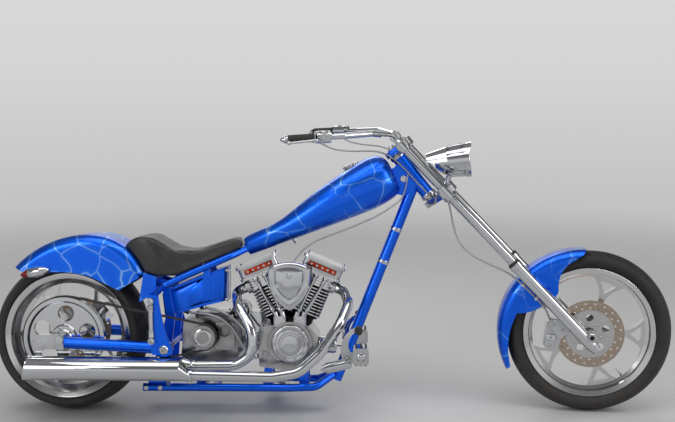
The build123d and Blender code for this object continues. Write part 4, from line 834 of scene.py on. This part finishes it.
# Engine screws, all chromed: four hold each rocker lid, a ring the cam cover, and four each lifter
# block, with turned collars round the ends of the pushrod tubes.
corners = [(x, -11 + y) for x in (-84, 84) for y in (-79, 79)]
screws = [place @ Matrix.Translation((x, y, 394)) for place in barrels for x, y in corners]
chromed(cap_screw(6.5, 6), screws, "rocker_screws")
screws = ring_of(Vector((966, 0, 304)), 68, -151, 10, 18, right)
chromed(cap_screw(4.2, 3.5), screws, "cam_cover_screws")
screws = [aimed((x, -120.5, z), right) for x, z in ((858, 252), (1046, 262))]
chromed(cap_screw(9, 7), screws, "case_bolts")
screws = [aimed((foot + x, -126, z), right) for foot in (919, 1005) for x in (-21, 21) for z in (383, 411)]
chromed(cap_screw(3.8, 4), screws, "lifter_screws")
collar = [(0, 8.2), (0, 11.5), (2, 12.5), (12, 12.5), (14, 11), (14, 9.5), (30, 9.5), (30, 8.2), (0, 8.2)]
collars = []
for place, foot, inward in zip(barrels, (919, 1005), (-24, 24)):
    for step in (-15, 15):
        low, high = Vector((foot + step, -108, 416)), place @ Vector((inward * 0.4 + step * 1.5, -90, 328))
        way = (high - low).normalized()
        collars += [aimed(low + way * 28, way), aimed(high - way * 2, -way)]
chromed(spun(collar, 28), collars, "pushrod_collars")

# Rocker boxes: a red plate with rounded ends on the right side of each, held by a row of five small
# chrome screws. The plates' red is a painted reflection of something red beside the machine.
# Painted reflection: this red and its lighter patches stand for a red reflection in the rocker boxes' chrome.
painted_red_reflection, tree = new_finish("red plate as painted reflection", Metallic=0.85, Roughness=0.24)
relief = effect(tree, grain, Grain_Size=500.0, Patch_Size=35.0)
fed(tree, Base_Color=blended(tree, relief["Patches"], (0.38, 0.02, 0.006, 1), (0.72, 0.08, 0.015, 1)),
    Normal=embossed(tree, relief["Height"], 0.15, 0.0004))
to_right = Matrix.Rotation(math.radians(90), 4, "X")
reflection_places = [place @ Matrix.Translation((0, -87.4, 361)) @ to_right for place in barrels]
fitted(repeated(plate(126, 20, 3.5, 1.5), reflection_places), "rocker_painted_reflections", "frame", painted_red_reflection)
studs = [place @ Matrix.Translation((x, -91, 361)) @ to_right
         for place in barrels for x in (-50, -25, 0, 25, 50)]
chromed(cap_screw(5.5, 2.5), studs, "rocker_studs")


# Air cleaner: a chrome cover pressed in the shape of a plain shield, bowed outwards, with a raised
# middle. One centre screw and three at its edge hold it.
def arc_through(start, middle, end, count=12):
    """Points along the circle through three points, the last one left out."""
    (ax, ay), (bx, by), (cx, cy) = start, middle, end
    twice = 2 * (ax * (by - cy) + bx * (cy - ay) + cx * (ay - by))
    a, b, c = ax * ax + ay * ay, bx * bx + by * by, cx * cx + cy * cy
    x = (a * (by - cy) + b * (cy - ay) + c * (ay - by)) / twice
    y = (a * (cx - bx) + b * (ax - cx) + c * (bx - ax)) / twice
    first, last = math.atan2(ay - y, ax - x), math.atan2(cy - y, cx - x)
    sweep = (last - first + math.pi) % math.tau - math.pi
    radius = math.hypot(ax - x, ay - y)
    turns = [first + sweep * step / count for step in range(count)]
    return [(x + radius * math.cos(turn), y + radius * math.sin(turn)) for turn in turns]


shield = (arc_through((-86, 42), (0, 62), (86, 42)) + arc_through((86, 42), (78, -66), (0, -146))
          + arc_through((0, -146), (-78, -66), (-86, 42)))
cleaner = Vector((964, 0, 596))
bow = ((1, 177), (0.985, 184), (0.95, 188), (0.89, 190.5), (0.8, 191.5), (0.665, 190.5), (0.65, 196),
       (0.62, 199), (0.5, 202), (0.3, 204.5), (0.12, 205.5))
bm = bmesh.new()
drawn_out(bm, [(cleaner.x + x, cleaner.z + z) for x, z in shield], 150, bow, -1, (cleaner.x, cleaner.z - 4))
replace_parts(fitted(bm, "cleaner_cover", "frame", cover_chrome, 50), "air_cleaner")
chromed(cap_screw(11, 5), [aimed(cleaner + Vector((0, -204.5, 4)), right)], "cleaner_screw")
screws = [aimed(cleaner + Vector((x, -190, z)), right) for x, z in ((-70, 36), (70, 36), (0, -122))]
chromed(cap_screw(4.5, 4), screws, "cleaner_edge_screws")

# Left of the engine: the carburettor's cast body, painted satin black, bolted in the V, and a spark
# plug screwed into each head, with a steel nut, a white porcelain insulator and a metal tip.
dark, tree = new_finish("satin black", Base_Color=(0.03, 0.03, 0.032, 1), Metallic=0.6)
relief = effect(tree, grain, Grain_Size=500.0, Patch_Size=25.0)
fed(tree, Roughness=between(tree, relief["Patches"], 0.3, 0.55),
    Normal=embossed(tree, relief["Height"], 0.2, 0.0004))
dressed(dark, "carburettor")

plug_seat = Matrix.Translation((0, 77, 302)) @ Matrix.Rotation(math.radians(-78), 4, "X")
plug_places = [place @ plug_seat for place in barrels]
chromed(hexagon(11, 10), plug_places, "plug_nuts", sharp=25)
porcelain, tree = new_finish("white porcelain", Base_Color=(0.82, 0.81, 0.78, 1), Coat_Weight=0.6)
relief = effect(tree, grain, Grain_Size=200.0, Patch_Size=60.0)
fed(tree, Roughness=between(tree, relief["Patches"], 0.12, 0.25))
ribbed = [(9, 7.5), (14, 6), (16, 5.5), (17, 6), (18, 5.2), (20, 5.2), (21, 5.8), (22, 5), (32, 4.5), (34, 2),
          (34, 0)]
fitted(repeated(spun(ribbed, 24), plug_places), "plug_insulators", "frame", porcelain)
tip = [(33, 3.2), (36, 3.2), (37, 2.4), (40, 2.4), (41, 3.2), (44, 3), (45, 0)]
chromed(spun(tip, 16), plug_places, "plug_tips")

# Oil filter: a steel canister, drawn in one piece and chromed, screwed on a short neck low at the
# front of the engine.
canister = [(-20, 24), (10, 24), (12, 37), (16, 38), (20, 36), (82, 36), (90, 32), (93, 24), (93, 0)]
chromed(spun(canister, 48), [aimed((1070, -6, 282), (1, 0, -0.06))], "oil_filter")

# Primary case on the left: one cast and chromed cover round both chain wheels, with a round clutch
# cover, a small inspection plate, and screws along its edge.
dressed(chrome, "primary_case")
clutch, inspection = Vector((640, 200, 300)), Vector((812, 200, 303))
arcs = ((640, 300, 92, (88, 120, 152, 184, 216, 248)), (963, 306, 72, (-85, -48, -12, 24, 60)))
edge_places = [(x + radius * math.cos(math.radians(turn)), z + radius * math.sin(math.radians(turn)))
               for x, z, radius, turns in arcs for turn in turns]
edge_places += [(745, 386), (856, 381), (745, 216), (856, 226)]
screws = [aimed((x, clutch.y, z), left) for x, z in edge_places]
chromed(cap_screw(5.5, 4), screws, "primary_screws")
cover = [(0, 74), (3, 74), (5, 72), (6, 60), (4.5, 58), (4.5, 52), (8, 40), (10, 20), (10.5, 0)]
chromed(spun(cover, 72), [aimed(clutch, left)], "clutch_cover")
chromed(cap_screw(3.8, 3), ring_of(clutch, 66, 5, 5, 0, left), "clutch_cover_screws")
chromed(plate(96, 52, 4, 2), [aimed(inspection, left)], "inspection_plate")
screws = [aimed(inspection + Vector((x, 4, z)), left) for z in (12, -12) for x in (-34, 34)]
chromed(cap_screw(3.2, 2.5), screws, "inspection_screws")

# Gearbox: chromed screws round its side cover and lid, a big nut and a turned face on its sprocket,
# and a ribbed starter motor that lies across the top, bolted behind the primary case.
screws = [aimed((680 + x, -104, 330 + z), right) for x in (-35, 35) for z in (-50, 0, 50)]
chromed(cap_screw(4.5, 4), screws, "gearbox_screws")
screws = [aimed((620 + x, y, 426), (0, 0, 1)) for x in (-64, 0, 64) for y in (-50, 50)]
chromed(cap_screw(4.5, 4), screws, "gearbox_lid_screws")
sprocket = Vector((595, 0, 332))
chromed(hexagon(17, 9), [aimed(sprocket + right * 169.5, right)], "sprocket_nut", sharp=25)
disc = [(0, 38), (2, 38), (4, 34), (4, 24), (1, 22), (1, 0)]
chromed(spun(disc, 48), [aimed(sprocket + right * 168.8, right)], "sprocket_face")
starter = [(0, 24), (0, 34), (4, 38), (16, 38)]
for rib in range(8):
    starter += [(20 + rib * 12, 38), (21 + rib * 12, 41), (26 + rib * 12, 41), (27 + rib * 12, 38)]
starter += [(122, 38), (128, 34), (134, 22), (136, 0)]
chromed(spun(starter, 48), [aimed((742, 88, 430), right)], "starter_motor")

# Drive belt: black rubber, moulded with teeth over a layer of cords and run tight round sprocket and
# pulley. Its finish is dull, and it is the dustiest piece.
strap, tree = new_finish("belt rubber", Specular_IOR_Level=0.3)
relief = effect(tree, grain, Grain_Size=1500.0, Patch_Size=18.0)
soil = effect(tree, dust, Reach=0.9, Amount=0.9)
fed(tree, Base_Color=blended(tree, soil["Dust"], (0.014, 0.014, 0.014, 1), (0.12, 0.11, 0.10, 1)),
    Roughness=between(tree, relief["Patches"], 0.55, 0.8),
    Normal=embossed(tree, relief["Height"], 0.4, 0.0005))
dressed(strap, "drive_belt")

# Exhaust: two bent and chromed pipes, held to the heads by dome nuts and clamped into two cut-off
# mufflers, each with a stepped baffle of sooty steel inside.
dressed(chrome, "exhaust_pipes", "mufflers")


def dome_nut(radius, tall):
    """A hexagon nut under a round cap."""
    bm = hexagon(radius, 0.45 * tall)
    outline = ((0.45, 0.86), (0.7, 0.8), (0.88, 0.55), (1, 0))
    cap = spun([(up * tall, out * radius) for up, out in outline], 24)
    joined = bpy.data.meshes.new("cap")
    cap.to_mesh(joined)
    cap.free()
    bm.from_mesh(joined)
    bpy.data.meshes.remove(joined)
    return bm


clamp = [(0, 22.2), (0, 26), (1, 26.6), (17, 26.6), (18, 26), (18, 22.2), (0, 22.2)]
joins = [(553, -300, 197), (553, -214, 220)]
chromed(spun(clamp, 48), [aimed(point, (1, 0, 0)) for point in joins], "pipe_clamps")
screws = [aimed((562, y, z - 26), (0, 0, -1)) for _, y, z in joins]
chromed(hexagon(6.5, 9), screws, "clamp_bolts", sharp=25)
blackness, tree = new_finish("sooty steel", Base_Color=(0.10, 0.095, 0.09, 1), Metallic=0.8)
relief = effect(tree, grain, Grain_Size=500.0, Patch_Size=20.0)
fed(tree, Roughness=between(tree, relief["Patches"], 0.4, 0.65),
    Normal=embossed(tree, relief["Height"], 0.3, 0.0006))
for name, outlet, radius in (("outer_baffle", (-88, -300, 219), 41.6),
                             ("inner_baffle", (-114, -214, 224), 29.6)):
    core = 0.62 * radius
    section = [(0, radius), (0, core), (28, core), (28, core - 2), (2, core - 2), (2, 0.2), (-2, 0.2),
               (-2, radius), (0, radius)]
    fitted(repeated(spun(section, 60), [aimed(outlet, (-1, 0, 0))]), name, "frame", blackness)
nuts = [aimed((x, y, 538), (way, 0, -0.4)) for x, way in ((1156, 1), (772, -1)) for y in (-70, -20)]
chromed(dome_nut(6.5, 12), nuts, "flange_nuts", sharp=25)

# Foot controls: chromed steel arms and peg blocks, bolted to the front of the frame, with rubber bars
# let in, a ribbed rubber on each pedal, and the brake cylinder low on the right.
dressed(chrome, "foot_controls")
bar = bmesh.new()
block = Matrix.Translation((0, 0, 1.5)) @ Matrix.Diagonal((9, 100, 5, 1))
bmesh.ops.create_cube(bar, size=1, matrix=block)
softened(bar, bar.edges, 1.2)
pads = [Matrix.Translation((1268 + x, side * 262, z))
        for side in (-1, 1) for x in (-20, 0, 20) for z in (242, 315)]
fitted(repeated(bar, pads), "peg_rubbers", "frame", dull)
sleeve = [(0, 13.2), (0, 16)]
for rib in range(6):
    sleeve += [(2 + rib * 9, 16.8), (6 + rib * 9, 16.8), (7 + rib * 9, 15.2), (9.5 + rib * 9, 15.2)]
sleeve += [(56, 16.5), (59, 14), (59, 0)]
fitted(repeated(spun(sleeve, 36), paired((1258, 226, 380))), "pedal_rubbers", "frame", dull)
cap = [(-2, 16.5), (4, 16.5), (6, 14), (7, 0)]
chromed(spun(cap, 36), paired((1268, 316, 280)), "peg_caps")
chromed(cap_screw(12, 8), paired((1209, 214, 250)), "control_pivots")
dome = [(-3, 23.6), (2, 23.6), (8, 21), (14, 14), (16, 0)]
chromed(spun(dome, 40), [aimed((1215, -190, 230), (0.97, 0, 0.23))], "brake_cylinder_cap")
banjo = [(-4, 8), (6, 8), (6, 5), (14, 5), (15, 0)]
chromed(spun(banjo, 24), [aimed((1110, -190, 205.5), (-0.97, 0, -0.23))], "brake_cylinder_union")

# Gear linkage on the left: a thin chromed rod with a ball joint at each end, from the pedal's arm to a
# lever clamped on a shaft low on the primary case.
front_end, rear_end = Vector((1198, 222, 236)), Vector((724, 222, 262))
rod = aimed(front_end, rear_end - front_end)
long = (rear_end - front_end).length
shape = [(0, 0), (0, 6), (4, 8), (10, 8), (14, 5.5), (30, 5.5), (32, 4.5), (long - 32, 4.5), (long - 30, 5.5),
         (long - 14, 5.5), (long - 10, 8), (long - 4, 8), (long, 6), (long, 0)]
chromed(spun(shape, 20), [rod], "gear_rod")
chromed(plate(24, 62, 6, 2), [aimed((722, 203, 282), left)], "gear_lever")
shape = [(0, 9), (12, 9), (14, 7), (14, 0)]
joints = [aimed(point, left) for point in ((724, 207, 262), (722, 200, 304), (1198, 206, 236))]
chromed(spun(shape, 24), joints, "gear_joints")

# Side stand: a chromed steel leg, bent outwards to a flat foot. It swings on a bolt in a bracket that
# is welded under the left rail.
dressed(chrome, "side_stand")
way = Vector((0.111, 0.329, 0.937))
chromed(hexagon(11, 6), [aimed(Vector((840, 178, 104)) + way * 24, way)], "stand_bolt", sharp=25)

# Hoses and cables: steel wire plaited over rubber, seen as a fine cross weave, with hexagon unions
# screwed over their ends.
braid, tree = new_finish("steel braid", Metallic=0.85)
where = wired(tree, "TexCoord").outputs["Object"]
one = wired(tree, "TexWave", Vector=where, bands_direction="DIAGONAL", Scale=240.0, Distortion=0.4)
mirrored = wired(tree, "Mapping", Vector=where, Scale=(-1.0, 1.0, 1.0))
two = wired(tree, "TexWave", Vector=mirrored.outputs[0], bands_direction="DIAGONAL", Scale=240.0,
            Distortion=0.4)
plait = worked_out(tree, "MULTIPLY", one.outputs["Fac"], two.outputs["Fac"])
fed(tree, Base_Color=blended(tree, plait, (0.30, 0.30, 0.31, 1), (0.80, 0.80, 0.82, 1)),
    Roughness=between(tree, plait, 0.42, 0.26),
    Normal=embossed(tree, plait, 0.5, 0.0006))
dressed(braid, "oil_hoses", "frame_cables", "bar_cables", "brake_hose")

union = [(0, 5.3), (0, 8), (12, 8), (13, 9.6), (24, 9.6), (25, 8), (25, 5.3), (0, 5.3)]
hose_ends = [((834, -92, 241), (-36, -12, 6)), ((831, -92.4, 303), (-42, -8, 16)),
             ((501, -68, 432), (50, -32, -4)), ((569, -62, 451.5), (52, -24, -6))]
chromed(spun(union, 6), [aimed(foot, way) for foot, way in hose_ends], "hose_unions", sharp=25)

# Studio: a pale floor that fades out at its edge, a bright softbox overhead, smaller ones beside
# the machine, and a camera at the photograph's angle.
bm = bmesh.new()
bmesh.ops.create_circle(bm, cap_ends=True, segments=96, radius=9.0)
surface = bpy.data.meshes.new("floor")
bm.to_mesh(surface)
bm.free()
floor = bpy.data.objects.new("floor", surface)
bpy.context.scene.collection.objects.link(floor)
pale, tree = new_finish("pale floor", Roughness=0.55)
where = wired(tree, "TexCoord").outputs["Object"]
relief = effect(tree, grain, Grain_Size=30.0, Patch_Size=1.2)
fed(tree, Base_Color=blended(tree, relief["Patches"], (0.49, 0.49, 0.49, 1), (0.51, 0.51, 0.51, 1)))
reach = wired(tree, "VectorMath", operation="LENGTH", A=where)
edge = between(tree, reach.outputs["Value"], 0.0, 1.0, From_Min=2.2, From_Max=7.5,
               interpolation_type="SMOOTHSTEP")
lit = tree.nodes["Principled BSDF"].outputs[0]
mixed = wired(tree, "MixShader", Fac=edge)
tree.links.new(lit, mixed.inputs[1])
tree.links.new(wired(tree, "BsdfTransparent").outputs[0], mixed.inputs[2])
tree.links.new(mixed.outputs[0], tree.nodes["Material Output"].inputs["Surface"])
surface.materials.append(pale)
floor.location.z = -0.0005
floor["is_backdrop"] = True

world = bpy.data.worlds.new("studio")
bpy.context.scene.world = world
world.use_nodes = True
tree = world.node_tree
sky = wired(tree, "TexCoord").outputs["Generated"]
height = wired(tree, "SeparateXYZ", Vector=sky).outputs["Z"]
tone = wired(tree, "ValToRGB", Fac=between(tree, height, 0.0, 1.0, From_Min=-1.0, From_Max=1.0))
tone.color_ramp.elements[0].color = (0.45, 0.45, 0.45, 1)
tone.color_ramp.elements[1].color = (0.30, 0.30, 0.31, 1)
for at, grey in ((0.42, 0.50), (0.50, 0.66), (0.61, 0.74), (0.68, 0.24), (0.80, 0.16)):
    tone.color_ramp.elements.new(at).color = (grey, grey, grey, 1)
seen = wired(tree, "LightPath")
backdrop = wired(tree, "Background", Color=tone.outputs["Color"], Strength=1.0)
air = wired(tree, "Background", Color=(1, 1, 1, 1), Strength=0.5)
direct = worked_out(tree, "MAXIMUM", seen.outputs["Is Camera Ray"], seen.outputs["Is Glossy Ray"])
clear = worked_out(tree, "MAXIMUM", direct, seen.outputs["Is Transmission Ray"])
either = wired(tree, "MixShader", Fac=clear)
tree.links.new(air.outputs[0], either.inputs[1])
tree.links.new(backdrop.outputs[0], either.inputs[2])
tree.links.new(either.outputs[0], tree.nodes["World Output"].inputs["Surface"])

softboxes = (("top lamp", (0.2, -1.2, 3.6), (4.6, 2.4), 60.0),
             ("side lamp", (-2.6, -3.4, 2.4), (1.6, 1.6), 30.0),
             ("front lamp", (3.4, -1.8, 2.2), (1.4, 1.8), 26.0),
             ("back lamp", (-0.5, 3.2, 3.0), (3.0, 1.2), 36.0))
for name, place, size, power in softboxes:
    lamp = bpy.data.lights.new(name, "AREA")
    lamp.shape = "RECTANGLE"
    lamp.size, lamp.size_y = size
    lamp.energy = power
    light = bpy.data.objects.new(name, lamp)
    light.location = place
    light.rotation_euler = (Vector((0, 0, 0.5)) - Vector(place)).to_track_quat("-Z", "Y").to_euler()
    bpy.context.scene.collection.objects.link(light)

lens = bpy.data.cameras.new("camera")
lens.lens = 56.0
camera = bpy.data.objects.new("camera", lens)
camera.location = (0.120, -4.613, 1.478)
looking_down, turned_left = 7.65, 1.2
camera.rotation_euler = (math.radians(90 - looking_down), 0, math.radians(turned_left))
bpy.context.scene.collection.objects.link(camera)
bpy.context.scene.camera = camera
bpy.context.scene.view_settings.view_transform = "Standard"

low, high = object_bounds()
